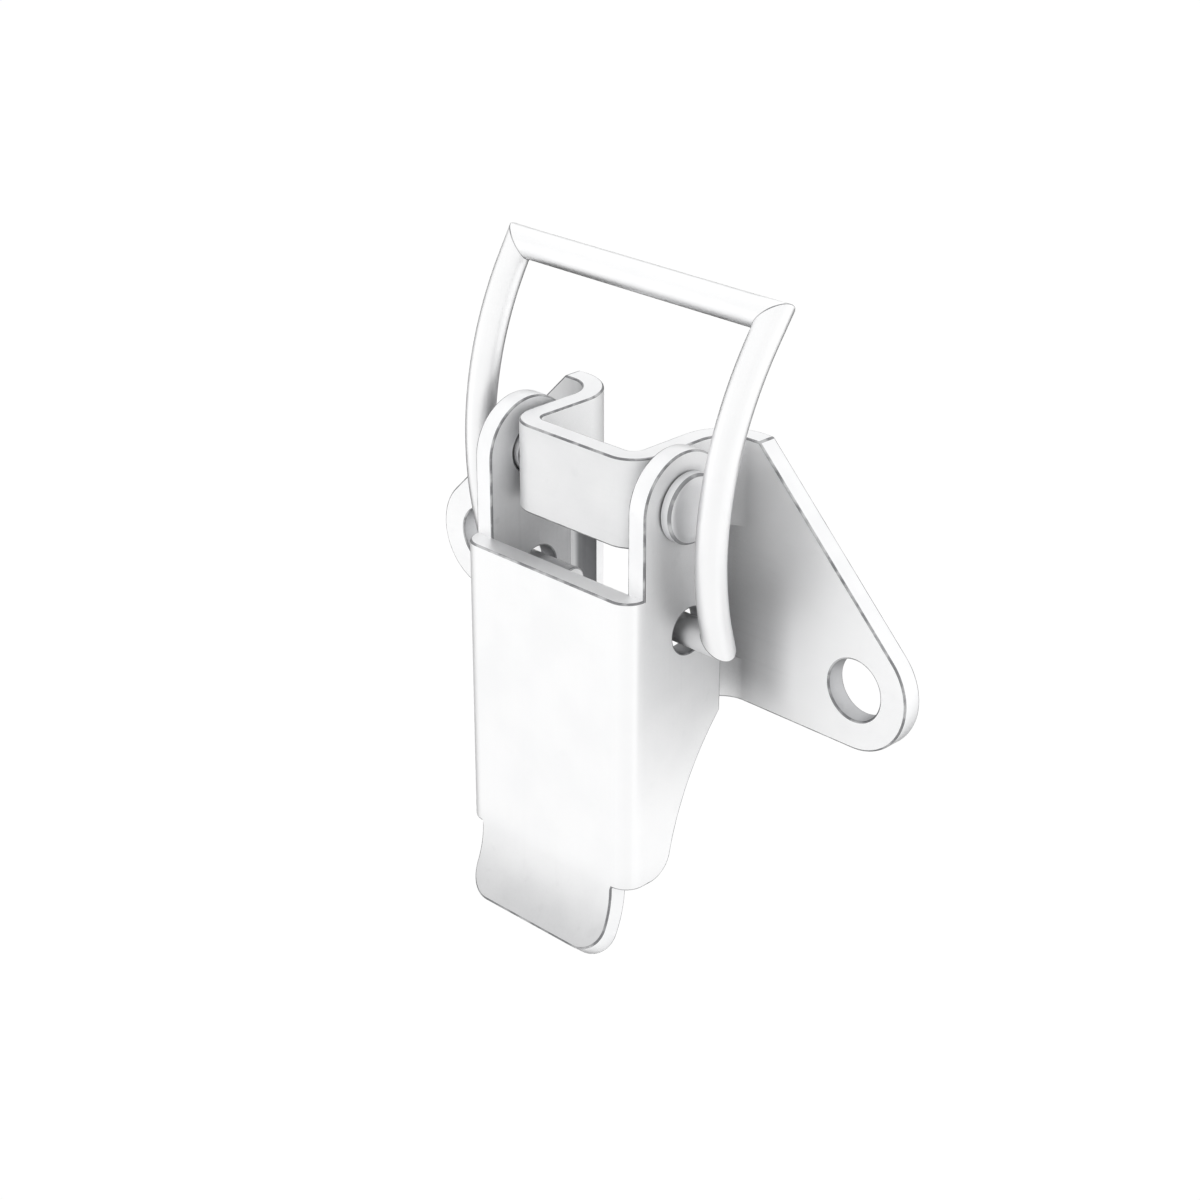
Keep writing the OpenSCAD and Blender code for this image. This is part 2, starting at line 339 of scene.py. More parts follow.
class EffectGroups:
    """The shader groups that the finishes share, each made once."""

    def __init__(self) -> None:
        """Makes the groups."""
        self.plating = self.make_plating()
        self.lines = self.make_lines()
        self.edge_shade = self.make_edge_shade()
        self.rub_ring = self.make_rub_ring()
        self.recess = self.make_recess_shade()
        self.end_shade = self.make_end_shade()
        self.pivot_shade = self.make_pivot_shade()

    def make_plating(self) -> bpy.types.NodeTree:
        """Makes the group for zinc plating: soft clouds, fine crystals and a few dull marks.

        Returns:
            The node group, with Colour, Roughness and Height outputs.
        """
        tints = {"Tint": (0.9, 0.9, 0.9), "Dull Tint": (0.85, 0.85, 0.86)}
        sizes = {"Roughness": 0.4, "Cloud Size": 220.0}
        bench = GroupBench("zinc_plating", {"Vector": Vector(), **tints, **sizes})
        given = bench.given
        place, size, dull = given["Vector"], given["Cloud Size"], given["Dull Tint"]
        cloud = bench.step(bench.noise(place, size, 5.0), 0.36, 0.7)
        crystal = bench.noise(place, bench.maths("MULTIPLY", size, 17.0), 3.0)
        mark = bench.step(bench.noise(place, bench.maths("MULTIPLY", size, 3.1), 2.0), 0.66, 0.74)
        clouded = bench.blend(cloud, given["Tint"], dull)
        colour = bench.blend(bench.maths("MULTIPLY", mark, 0.5), clouded, dull)
        spread = bench.maths("MULTIPLY_ADD", crystal, 0.1, bench.maths("MULTIPLY", cloud, 0.04))
        dulled = bench.maths("MULTIPLY_ADD", mark, 0.06, spread)
        roughness = bench.maths("ADD", given["Roughness"], dulled, clamp=True)
        return bench.close({"Colour": colour, "Roughness": roughness, "Height": crystal})

    def make_lines(self) -> bpy.types.NodeTree:
        """Makes the group for rolling, drawing or turning lines, on a place already drawn out along them.

        Returns:
            The node group, with Lines and Scratches outputs, each from 0 to 1.
        """
        bench = GroupBench("rolled_lines", {"Vector": Vector(), "Fineness": 9000.0})
        place, fineness = bench.given["Vector"], bench.given["Fineness"]
        fine = bench.noise(place, fineness, 4.0)
        coarse = bench.noise(place, bench.maths("MULTIPLY", fineness, 0.23), 2.0)
        return bench.close({"Lines": fine, "Scratches": bench.step(coarse, 0.62, 0.72)})

    def make_edge_shade(self) -> bpy.types.NodeTree:
        """Makes the group for painted shade along the rolled edges: dark edge lines, broken up into patches.

        Returns:
            The node group, with an Edge Shade output from 0 to 1.
        """
        bench = GroupBench("edge_shade", {"Vector": Vector(), "Edge": 0.0, "Share": 0.88})
        # Painted shade: a dark line along each rolled edge, broken up by noise.
        edge_shaded = bench.step(bench.noise(bench.given["Vector"], 900.0, 4.0), 0.35, 0.6)
        patchy = bench.maths("MULTIPLY_ADD", edge_shaded, 0.45, 0.55)
        share = bench.maths("MULTIPLY", patchy, bench.given["Share"])
        return bench.close({"Edge Shade": bench.maths("MULTIPLY", bench.given["Edge"], share)})

    def make_rub_ring(self) -> bpy.types.NodeTree:
        """Makes the group for the ring that a turning part rubs on the sides, broken up by noise.

        Returns:
            The node group, with a Rub output from 0 to 1.
        """
        sizes = {"Radius": 0.003, "Width": 0.0005, "From Middle": 0.0, "Share": 0.16}
        bench = GroupBench("rub_ring", {"Vector": Vector(), "Centre": Vector(), **sizes})
        given = bench.given
        place = bench.vectors("SUBTRACT", given["Vector"], given["Centre"])["Vector"]
        off = bench.maths("ABSOLUTE", bench.maths("SUBTRACT", bench.off_axis(place), given["Radius"]))
        near = bench.maths("SUBTRACT", 1.0, bench.maths("DIVIDE", off, given["Width"]), clamp=True)
        broken = bench.step(bench.noise(place, 700.0, 2.0), 0.3, 0.65)
        off_middle = bench.maths("ABSOLUTE", bench.split(place)["X"])
        outside = bench.maths("GREATER_THAN", off_middle, given["From Middle"])
        return bench.close({"Rub": bench.product(near, broken, outside, given["Share"])})

    def make_recess_shade(self) -> bpy.types.NodeTree:
        """Makes the group for painted shade in recesses: ambient occlusion darkens the colour where shade
        falls.

        Returns:
            The node group, with a Dulling output from 0 to 1.
        """
        bench = GroupBench("recess_painted_shade", {"Reach": 0.01, "Even": 0.15, "Deep": 0.7, "Most": 0.5})
        given = bench.given
        # Painted shade: the colour is darkened where ambient occlusion finds the surface shut in.
        open_air = bench.filled("ShaderNodeAmbientOcclusion", {"Distance": given["Reach"]}, samples=8)
        shut = bench.maths("SUBTRACT", 1.0, open_air.outputs["AO"])
        even = bench.maths("MULTIPLY", shut, given["Even"])
        deep = bench.maths("MULTIPLY_ADD", bench.maths("POWER", shut, 3.0), given["Deep"], even, clamp=True)
        return bench.close({"Shade": bench.maths("MINIMUM", deep, given["Most"])})

    def make_end_shade(self) -> bpy.types.NodeTree:
        """Makes the group for painted shade towards one end of a piece, darker the further along it lies.

        Returns:
            The node group, with a Shade output from 0 to 1.
        """
        sizes = {"Start": 0.01, "Full": 0.02, "Share": 0.5}
        bench = GroupBench("end_shade", {"Vector": Vector(), "Way": Vector((0, 0, -1)), **sizes})
        given = bench.given
        reach = bench.vectors("DOT_PRODUCT", given["Vector"], given["Way"])["Value"]
        # Painted shade: darker towards the end, with a noisy smear.
        grip = bench.step(reach, given["Start"], given["Full"])
        smear = bench.maths("MULTIPLY_ADD", bench.noise(given["Vector"], 420.0, 5.0), 0.24, 0.84)
        smeared = bench.maths("MULTIPLY", grip, smear)
        return bench.close({"Shade": bench.maths("MULTIPLY", smeared, given["Share"], clamp=True)})

    def make_pivot_shade(self) -> bpy.types.NodeTree:
        """Makes the group for painted shade round a pivot, over the sides round it.

        Returns:
            The node group, with a Shade output from 0 to 1.
        """
        sizes = {"Near": 0.003, "Far": 0.011, "From Middle": 0.005, "Share": 0.3}
        bench = GroupBench("pivot_shade", {"Vector": Vector(), "Centre": Vector(), **sizes})
        given = bench.given
        place = bench.vectors("SUBTRACT", given["Vector"], given["Centre"])["Vector"]
        # Painted shade round the pivot, beside the sides and smeared by noise.
        shade_mark = bench.maths("SUBTRACT", 1.0, bench.step(bench.off_axis(place), given["Near"], given["Far"]))
        off_middle = bench.maths("ABSOLUTE", bench.split(place)["X"])
        start = bench.maths("SUBTRACT", given["From Middle"], 0.12 * MM)
        beside = bench.step(off_middle, start, given["From Middle"])
        smear = bench.maths("MULTIPLY_ADD", bench.noise(given["Vector"], 300.0, 5.0), 0.3, 0.85)
        shade_mark = bench.product(shade_mark, beside, smear)
        return bench.close({"Shade": bench.maths("MULTIPLY", shade_mark, given["Share"], clamp=True)})


@dataclass(frozen=True)
class FoldFootShade:
    """Painted shade at the foot of a folded wing, and the open wing beyond it, where less of the painted shade
    of recesses stays.
    """

    from_mm: Pair = (5.2, 5.8)
    near_mm: Pair = (10.0, 13.0)
    top_mm: Pair = (0.5, 10.0)
    bottom_mm: Pair = (-5.0, -1.5)
    front_mm: Pair = (-4.7, -3.7)
    back_mm: Pair = (-0.9, -0.4)
    share: float = 0.52
    open_mm: Pair = (6.5, 9.5)
    open_share: float = 1.0
    side: Side | None = None

    def across(self, bench: NodeBench, x: Socket) -> Socket:
        """Gives the distance out from the latch's middle, on both sides or towards the one named.

        Args:
            bench: The bench to build on.
            x: The place's X.

        Returns:
            The distance.
        """
        if self.side is None:
            return bench.maths("ABSOLUTE", x)
        return bench.maths("MULTIPLY", x, float(self.side.value))

    def painted_shade(self, bench: NodeBench, place: Socket) -> Socket:
        """Gives how far the foot of the fold is darkened as painted shade.

        Args:
            bench: The bench to build on.
            place: The place.

        Returns:
            The dulling, from 0 to 1.
        """
        parts = bench.split(place)
        across = self.across(bench, parts["X"])
        # Painted shade: darkest at the fold's foot, fading out along X, Y and Z.
        held = self.share
        starts = ((parts["Z"], self.bottom_mm), (parts["Y"], self.front_mm), (across, self.from_mm))
        for value, reach_mm in starts:
            held = bench.maths("MULTIPLY", bench.step(value, *mm(*reach_mm)), held)
        ends = ((across, self.near_mm), (parts["Z"], self.top_mm), (parts["Y"], self.back_mm))
        for value, reach_mm in ends:
            lost = bench.step(value, *mm(*reach_mm))
            held = bench.maths("MULTIPLY", held, bench.maths("SUBTRACT", 1.0, lost))
        return held

    def sheltered(self, bench: NodeBench, place: Socket) -> Socket:
        """Gives how much of the painted shade of recesses stays: all of it on the hump, and less on the wings.

        Args:
            bench: The bench to build on.
            place: The place.

        Returns:
            The share that stays.
        """
        beyond = bench.step(bench.maths("ABSOLUTE", bench.split(place)["X"]), *mm(*self.open_mm))
        return bench.maths("MULTIPLY_ADD", beyond, -self.open_share, 1.0)


@dataclass(frozen=True)
class RubRing:
    """The ring that a part turning on the hinge rubs, from a distance off the latch's middle outwards."""

    radius_mm: float
    width_mm: float
    from_mm: float
    centre_mm: Pair = HINGE_MM
    share: float = 0.16

    def rub(self, bench: NodeBench, place: Socket, groups: EffectGroups) -> Socket:
        """Gives how far each point is rubbed.

        Args:
            bench: The bench to build on.
            place: The place.
            groups: The shared groups.

        Returns:
            The rub, from 0 to 1.
        """
        sizes = {"Radius": self.radius_mm * MM, "Width": self.width_mm * MM, "From Middle": self.from_mm * MM}
        inputs = {"Vector": place, "Centre": mm(0, *self.centre_mm), **sizes, "Share": self.share}
        return bench.effect(groups.rub_ring, inputs)["Rub"]


@dataclass(frozen=True)
class EndShade:
    """Painted shade towards one end of a piece, from where it starts to where it is full."""

    start_mm: float
    full_mm: float
    way: Reach = Reach.DOWN
    share: float = 0.52

    def painted_shade(self, bench: NodeBench, place: Socket, groups: EffectGroups) -> Socket:
        """Gives how far each point is darkened as painted shade."""
        sizes = {"Start": self.start_mm * MM, "Full": self.full_mm * MM, "Share": self.share}
        return bench.effect(groups.end_shade, {"Vector": place, "Way": self.way.value, **sizes})["Shade"]


@dataclass(frozen=True)
class PivotShade:
    """Painted shade on the sides round a pivot, full near its centre and gone far from it."""

    centre_mm: Pair
    near_mm: float
    far_mm: float
    from_mm: float
    share: float

    def painted_shade(self, bench: NodeBench, place: Socket, groups: EffectGroups) -> Socket:
        """Gives how far each point is darkened as painted shade.

        Args:
            bench: The bench to build on.
            place: The place.
            groups: The shared groups.

        Returns:
            The painted shade, from 0 to 1.
        """
        sizes = {"Near": self.near_mm * MM, "Far": self.far_mm * MM, "From Middle": self.from_mm * MM}
        inputs = {"Vector": place, "Centre": mm(0, *self.centre_mm), **sizes, "Share": self.share}
        return bench.effect(groups.pivot_shade, inputs)["Shade"]


@dataclass(frozen=True)
class PlatedSteel:
    """Satin zinc-plated steel, with fine lines, soft clouds and polished edges, and with painted shade: dark
    edge lines and darkening in recesses, towards ends, round pivots and at fold feet.
    """

    name: str
    tint: Colour = (0.98, 0.982, 0.985)
    dull: Colour = (0.95, 0.953, 0.96)
    # Tones that painted shade darkens the plating to: along edges and in the rub ring, towards ends, pivots and
    # fold feet, and in recesses.
    rub_and_edge_shade: Colour = (0.16, 0.162, 0.17)
    shade_tone: Colour = (0.36, 0.362, 0.37)
    recess_shade_tint: Colour = (0.15, 0.153, 0.16)
    edge_shade_share: float = 0.88
    recess_reach_mm: float = 18.0
    recess_even: float = 0.14
    recess_deep: float = 0.5
    recess_most: float = 0.42
    roughness: float = 0.34
    cloud_size: float = 260.0
    grain: Grain = Grain.UP
    fineness: float = 7000.0
    lines_depth: float = 0.06
    lines_dull: float = 0.4
    lines_height: float = 0.7
    scratch_depth: float = 0.05
    rub_polish: float = 0.06
    recess_roughness: float = 0.12
    bump: float = 0.1
    bump_mm: float = 0.02
    ring: RubRing | None = None
    end_shade: EndShade | None = None
    pivot_shade_mark: PivotShade | None = None
    fold_shades: tuple[FoldFootShade, ...] = ()

    def place(self, bench: NodeBench) -> Socket:
        """Gives the place that the finish's patterns are read at."""
        return bench.add("ShaderNodeTexCoord").outputs["Object"]

    def drawn_out(self, bench: NodeBench, place: Socket) -> Socket:
        """Draws the place out along the way that the lines run."""
        return bench.vectors("MULTIPLY", place, self.grain.value)["Vector"]

    def rub(self, bench: NodeBench, place: Socket, groups: EffectGroups) -> Socket:
        """Gives how far each point is darkened: painted shade along its rolled edges, and the ring rubbed under
        a turning part.

        Args:
            bench: The bench to build on.
            place: The place.
            groups: The shared groups.

        Returns:
            The darkening, from 0 to 1.
        """
        inputs = {"Vector": place, "Edge": bench.attribute(EDGE_MARK)["Fac"], "Share": self.edge_shade_share}
        edge_shaded = bench.effect(groups.edge_shade, inputs)["Edge Shade"]
        if self.ring is None:
            return edge_shaded
        return bench.maths("MAXIMUM", edge_shaded, self.ring.rub(bench, place, groups))

    def dulled(
        self, bench: NodeBench, place: Socket, groups: EffectGroups, colour: Socket, shut: Socket
    ) -> tuple[Socket, Socket]:
        """Darkens the plating with painted shade towards an end, round a pivot and at the foot of a fold.

        Args:
            bench: The bench to build on.
            place: The place.
            groups: The shared groups.
            colour: The plating's colour.
            shut: The painted shade of recesses.

        Returns:
            The new colour, and what is left of the painted shade of recesses.
        """
        for shade_mark in (self.end_shade, self.pivot_shade_mark):
            if shade_mark is not None:
                colour = bench.blend(shade_mark.painted_shade(bench, place, groups), colour, self.shade_tone)
        for foot in self.fold_shades:
            colour = bench.blend(foot.painted_shade(bench, place), colour, self.shade_tone)
            shut = bench.maths("MULTIPLY", shut, foot.sheltered(bench, place))
        return colour, shut

    def make(self, groups: EffectGroups) -> bpy.types.Material:
        """Makes the material.

        Args:
            groups: The shared groups.

        Returns:
            The material.
        """
        made = bpy.data.materials.new(self.name)
        made.use_nodes = True
        made.diffuse_color = (*self.tint, 1)
        bench = NodeBench(made.node_tree)
        place = self.place(bench)
        tints = {"Tint": self.tint, "Dull Tint": self.dull}
        sizes = {"Roughness": self.roughness, "Cloud Size": self.cloud_size}
        coat = bench.effect(groups.plating, {"Vector": place, **tints, **sizes})
        drawn = self.drawn_out(bench, place)
        grain = bench.effect(groups.lines, {"Vector": drawn, "Fineness": self.fineness})
        reach = {"Reach": self.recess_reach_mm * MM}
        shares = {"Even": self.recess_even, "Deep": self.recess_deep, "Most": self.recess_most}
        # Painted shade in recesses, from ambient occlusion.
        shut = bench.effect(groups.recess, {**reach, **shares})["Shade"]
        rub = self.rub(bench, place, groups)
        lines = grain["Lines"]
        colour = bench.blend(bench.maths("MULTIPLY", lines, self.lines_dull), coat["Colour"], self.dull)
        colour, shut = self.dulled(bench, place, groups, colour, shut)
        # Painted shade: the rolled edges darken to a dark edge line and the recesses to the recess tone; the
        # rub ring darkens too.
        colour = bench.blend(shut, bench.blend(rub, colour, self.rub_and_edge_shade), self.recess_shade_tint)
        rough = bench.maths("MULTIPLY_ADD", lines, self.lines_depth, coat["Roughness"])
        rough = bench.maths("MULTIPLY_ADD", grain["Scratches"], self.scratch_depth, rough)
        rough = bench.maths("MULTIPLY_ADD", rub, -self.rub_polish, rough, clamp=True)
        rough = bench.maths("MULTIPLY_ADD", shut, self.recess_roughness, rough)
        height = bench.maths("MULTIPLY_ADD", lines, self.lines_height, coat["Height"])
        relief = {"Strength": self.bump, "Distance": self.bump_mm * MM, "Height": height}
        normal = bench.filled("ShaderNodeBump", relief).outputs["Normal"]
        inputs = {"Metallic": 1.0, "Base Color": colour, "Roughness": rough, "Normal": normal}
        steel = bench.filled("ShaderNodeBsdfPrincipled", inputs)
        bench.filled("ShaderNodeOutputMaterial", {"Surface": steel.outputs["BSDF"]})
        return made


@dataclass(frozen=True)
class DrawnWireSteel(PlatedSteel):
    """Plated wire, whose lines run along it from the die it was drawn through."""

    def place(self, bench: NodeBench) -> Socket:
        """Gives the place round and along the wire, from the piece's own attribute."""
        return bench.attribute(WIRE_PLACE)["Vector"]


@dataclass(frozen=True)
class TurnedSteel(PlatedSteel):
    """Plated steel whose lines run in rings about an axis along X."""

    axis_mm: Pair = HINGE_MM

    def drawn_out(self, bench: NodeBench, place: Socket) -> Socket:
        """Turns the place into its distance from the axis and along it, so that the lines are rings.

        Args:
            bench: The bench to build on.
            place: The place.

        Returns:
            The new place.
        """
        centred = bench.vectors("SUBTRACT", place, mm(0, *self.axis_mm))["Vector"]
        inputs = {"X": bench.off_axis(centred), "Y": bench.split(centred)["X"]}
        return bench.filled("ShaderNodeCombineXYZ", inputs).outputs[0]


# Mesh building


def paint_faces(shape: BMesh, surface: Surface) -> None:
    """Gives every face of a bmesh one kind of surface."""
    for face in shape.faces:
        face.material_index = surface.value


def bevel(
    shape: BMesh, parts: list, width: float, steps: int, affect: str = "EDGES", held_apart: bool = False
) -> list[BMFace]:
    """Bevels some edges or corners of a bmesh.

    Args:
        shape: The bmesh.
        parts: The edges or corners.
        width: The width taken off each side, in metres.
        steps: The number of steps across it.
        affect: EDGES or VERTICES.
        held_apart: Whether neighbouring bevels are kept from running into one another.

    Returns:
        The new faces.
    """
    made = bmesh.ops.bevel(
        shape,
        geom=parts,
        offset=width,
        offset_type="OFFSET",
        segments=steps,
        profile=0.5,
        affect=affect,
        clamp_overlap=held_apart,
        material=-1,
    )
    return made["faces"]


def mark_edge_faces(faces: Iterable[BMFace], layer: bmesh.types.BMLayerItem) -> None:
    """Marks faces as edges, which the finish darkens as painted shade and polishes.

    Args:
        faces: The faces.
        layer: The layer of edge marks.
    """
    for face in faces:
        for loop in face.loops:
            loop[layer] = 1.0


def extrude_flat(shape: BMesh, face: BMFace, depth: Vector, walls: Surface) -> BMesh:
    """Draws a flat face out into a block with cut ends.

    Args:
        shape: The bmesh that holds the face.
        face: The face.
        depth: How far and which way, in metres.
        walls: The kind of surface round the outline.

    Returns:
        The same bmesh, now a block.
    """
    made = bmesh.ops.extrude_face_region(shape, geom=[face], use_keep_orig=True)
    moved = [v for v in made["geom"] if isinstance(v, BMVert)]
    bmesh.ops.translate(shape, verts=moved, vec=depth)
    bmesh.ops.recalc_face_normals(shape, faces=shape.faces)
    way = depth.normalized()
    for side in shape.faces:
        at_end = abs(side.normal.dot(way)) > 0.99
        side.material_index = (Surface.CUT_EDGE if at_end else walls).value
    return shape


def prism(corners: list[Vector], rounds: dict[int, float], depth: Vector, walls: Surface) -> BMesh:
    """Makes a solid with cut ends from a flat outline whose corners are rounded, then drawn out straight.

    Args:
        corners: The outline's corners, in order, in metres.
        rounds: For some corners, by index, the length taken off each side to round it, in metres.
        depth: How far and which way the outline is drawn out, in metres.
        walls: The kind of surface round the outline.

    Returns:
        The solid.
    """
    shape = bmesh.new()
    points = [shape.verts.new(c) for c in corners]
    shape.faces.new(points)
    for index, length in rounds.items():
        bevel(shape, [points[index]], length, CORNER_STEPS, affect="VERTICES")
    bmesh.ops.remove_doubles(shape, verts=shape.verts, dist=MERGE)
    return extrude_flat(shape, shape.faces[:][0], depth, walls)


@dataclass
class FlatOutline:
    """Draws a flat outline out of points and arcs, in millimetres, then draws it out into a block."""

    corner: Vector
    across: Vector
    up: Vector
    shape: BMesh = field(default_factory=bmesh.new)
    ring: list[BMVert] = field(default_factory=list)
    last: Vector = field(default_factory=lambda: Vector((0, 0)))

    def place(self, point: Vector) -> Vector:
        """Gives the place of a point of the outline, in metres."""
        return self.corner + (self.across * point.x + self.up * point.y) * MM

    def line_to(self, *points: Pair | Vector) -> FlatOutline:
        """Goes on in straight lines.

        Args:
            points: The points, in order.

        Returns:
            The outline itself.
        """
        for point in points:
            self.last = Vector(point)
            self.ring.append(self.shape.verts.new(self.place(self.last)))
        return self

    def arc_to(self, end: Pair | Vector, centre: Pair | Vector, steps: int) -> FlatOutline:
        """Goes on along the shorter arc about a centre.

        Args:
            end: Where the arc ends.
            centre: The arc's centre.
            steps: The number of steps in it.

        Returns:
            The outline itself.
        """
        middle = Vector(centre)
        first, second = self.last - middle, Vector(end) - middle
        bmesh.ops.spin(
            self.shape,
            geom=[self.ring[-1]],
            cent=self.place(middle),
            axis=self.across.cross(self.up),
            angle=math.atan2(first.cross(second), first.dot(second)),
            steps=steps,
        )
        self.shape.verts.ensure_lookup_table()
        self.ring += self.shape.verts[-steps:]
        self.last = Vector(end)
        return self

    def draw_out(self, depth: Vector) -> BMesh:
        """Fills the outline and draws it out into a block, all of it a cut surface.

        Args:
            depth: How far and which way, in metres.

        Returns:
            The block.
        """
        shape = self.shape
        bmesh.ops.delete(shape, geom=shape.edges[:], context="EDGES_FACES")
        return extrude_flat(shape, shape.faces.new(self.ring), depth, Surface.CUT_EDGE)


def round_bar(centre: Vector, along: Vector, radius: float, length: float, segments: int = 72) -> BMesh:
    """Makes a solid round bar, used to cut holes.

    Args:
        centre: The bar's middle, in metres.
        along: Its direction.
        radius: Its radius, in metres.
        length: Its length, in metres.
        segments: The number of its sides.

    Returns:
        The bar.
    """
    shape = bmesh.new()
    turn = along.to_track_quat("Z", "Y").to_matrix().to_4x4()
    bmesh.ops.create_cone(
        shape,
        cap_ends=True,
        segments=segments,
        radius1=radius,
        radius2=radius,
        depth=length,
        matrix=Matrix.Translation(centre) @ turn,
    )
    paint_faces(shape, Surface.CUT_EDGE)
    return shape


def block(low: Vector, high: Vector) -> BMesh:
    """Makes a block.

    Args:
        low: Its lowest corner, in metres.
        high: Its highest corner, in metres.

    Returns:
        The block.
    """
    shape = bmesh.new()
    bmesh.ops.create_cube(shape, size=1.0)
    bmesh.ops.scale(shape, verts=shape.verts, vec=high - low)
    bmesh.ops.translate(shape, verts=shape.verts, vec=(low + high) / 2)
    paint_faces(shape, Surface.CUT_EDGE)
    return shape


def placed_object(shape: BMesh, name: str, metals: Iterable[bpy.types.Material | None]) -> bpy.types.Object:
    """Puts a bmesh in the scene as an object at the origin.

    Args:
        shape: The bmesh, in metres. It is freed.
        name: The object's name.
        metals: Its materials, in the order of its faces' slots.

    Returns:
        The new object.
    """
    mesh = bpy.data.meshes.new(name)
    shape.to_mesh(mesh)
    shape.free()
    for metal in metals:
        mesh.materials.append(metal)
    made = bpy.data.objects.new(name, mesh)
    bpy.context.scene.collection.objects.link(made)
    return made


def combine(blank: BMesh, steps: list[tuple[Join, BMesh]]) -> BMesh:
    """Cuts a blank, or adds to it, one tool at a time.

    Args:
        blank: The blank. It is freed.
        steps: How each tool meets the blank, and the tool. The tools are freed.

    Returns:
        The finished solid.
    """
    slots = [None] * len(Surface)
    work = placed_object(blank, "blank", slots)
    tools = []
    for join, tool in steps:
        tools.append(placed_object(tool, "tool", slots))
        modifier = work.modifiers.new("step", "BOOLEAN")
        modifier.operation = join.value
        modifier.solver = "EXACT"
        modifier.material_mode = "INDEX"
        modifier.object = tools[-1]
    bpy.context.view_layer.update()
    shape = bmesh.new()
    shape.from_object(work, bpy.context.evaluated_depsgraph_get())
    for used in (work, *tools):
        mesh = used.data
        bpy.data.objects.remove(used)
        bpy.data.meshes.remove(mesh)
    return shape


def paint_bores(shape: BMesh, bores: list[tuple[Vector, Vector, float]]) -> None:
    """Marks the walls of round holes, where zinc plates thin.

    Args:
        shape: The solid.
        bores: Each hole's middle and axis, and its radius, in metres.
    """
    for middle, axis, radius in bores:
        for face in shape.faces:
            arm = face.calc_center_median() - middle
            arm -= axis * arm.dot(axis)
            if arm.length < radius + 0.01 * MM and abs(face.normal.dot(axis)) < 0.1:
                face.material_index = Surface.BORE.value


def middle_of(edge: BMEdge) -> Vector:
    """Gives an edge's middle, in millimetres."""
    return (edge.verts[0].co + edge.verts[1].co) / 2 / MM


def roll_edges(shape: BMesh, width: float, left_sharp: Callable[[BMEdge], bool]) -> None:
    """Rolls over a solid's sharp edges, as stamping and tumbling do, and marks them for the painted edge shade
    and the polish.

    Args:
        shape: The solid.
        width: The width of each rolled edge, in metres.
        left_sharp: Tells whether an edge stays as it is.
    """
    bmesh.ops.remove_doubles(shape, verts=shape.verts, dist=0.002 * MM)
    bmesh.ops.dissolve_limit(
        shape,
        angle_limit=math.radians(0.2),
        verts=shape.verts,
        edges=shape.edges,
        delimit={"NORMAL", "MATERIAL"},
    )
    sharp = [e for e in shape.edges if e.is_manifold and e.calc_face_angle(0.0) > SHARP_FROM]
    made = bevel(shape, [e for e in sharp if not left_sharp(e)], width, ROLL_STEPS)
    mark_edge_faces(made, shape.loops.layers.float.new(EDGE_MARK))


def finish_piece(shape: BMesh, name: str, metals: list[bpy.types.Material]) -> bpy.types.Object:
    """Turns a bmesh into a finished piece at the origin, smooth between its sharp edges.

    Args:
        shape: The bmesh, in metres in the row frame. It is freed.
        name: The piece's name.
        metals: Its materials, in the order of its faces' slots.

    Returns:
        The new object.
    """
    open_edges = [e for e in shape.edges if not e.is_manifold]
    if open_edges:
        LOG.warning("%s: %d edges are open", name, len(open_edges))
    for face in shape.faces:
        face.smooth = True
    for edge in shape.edges:
        edge.smooth = not (edge.is_manifold and edge.calc_face_angle(0.0) > SMOOTH_UP_TO)
    made = placed_object(shape, name, metals)
    even = made.modifiers.new("even_normals", "WEIGHTED_NORMAL")
    even.keep_sharp = True
    even.weight = 80
    return made


@dataclass
class Piece:
    """One physical piece: the solid it stands for, and how it is dressed."""

    node: str
    body: str
    slot: str
    finishes: tuple[PlatedSteel, ...]

    def model(self) -> BMesh:
        """Models the piece.

        Returns:
            Its mesh, in metres in the row frame.
        """
        raise NotImplementedError

    def build(self, groups: EffectGroups) -> bpy.types.Object:
        """Models and dresses the piece, and has it stand for its solid.

        Args:
            groups: The shared shader groups.

        Returns:
            The finished object.
        """
        made = finish_piece(self.model(), f"{self.node}_piece", [f.make(groups) for f in self.finishes])
        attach(made, self.body)
        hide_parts(self.node)
        LOG.info("%s: %d faces", made.name, len(made.data.polygons))
        return made


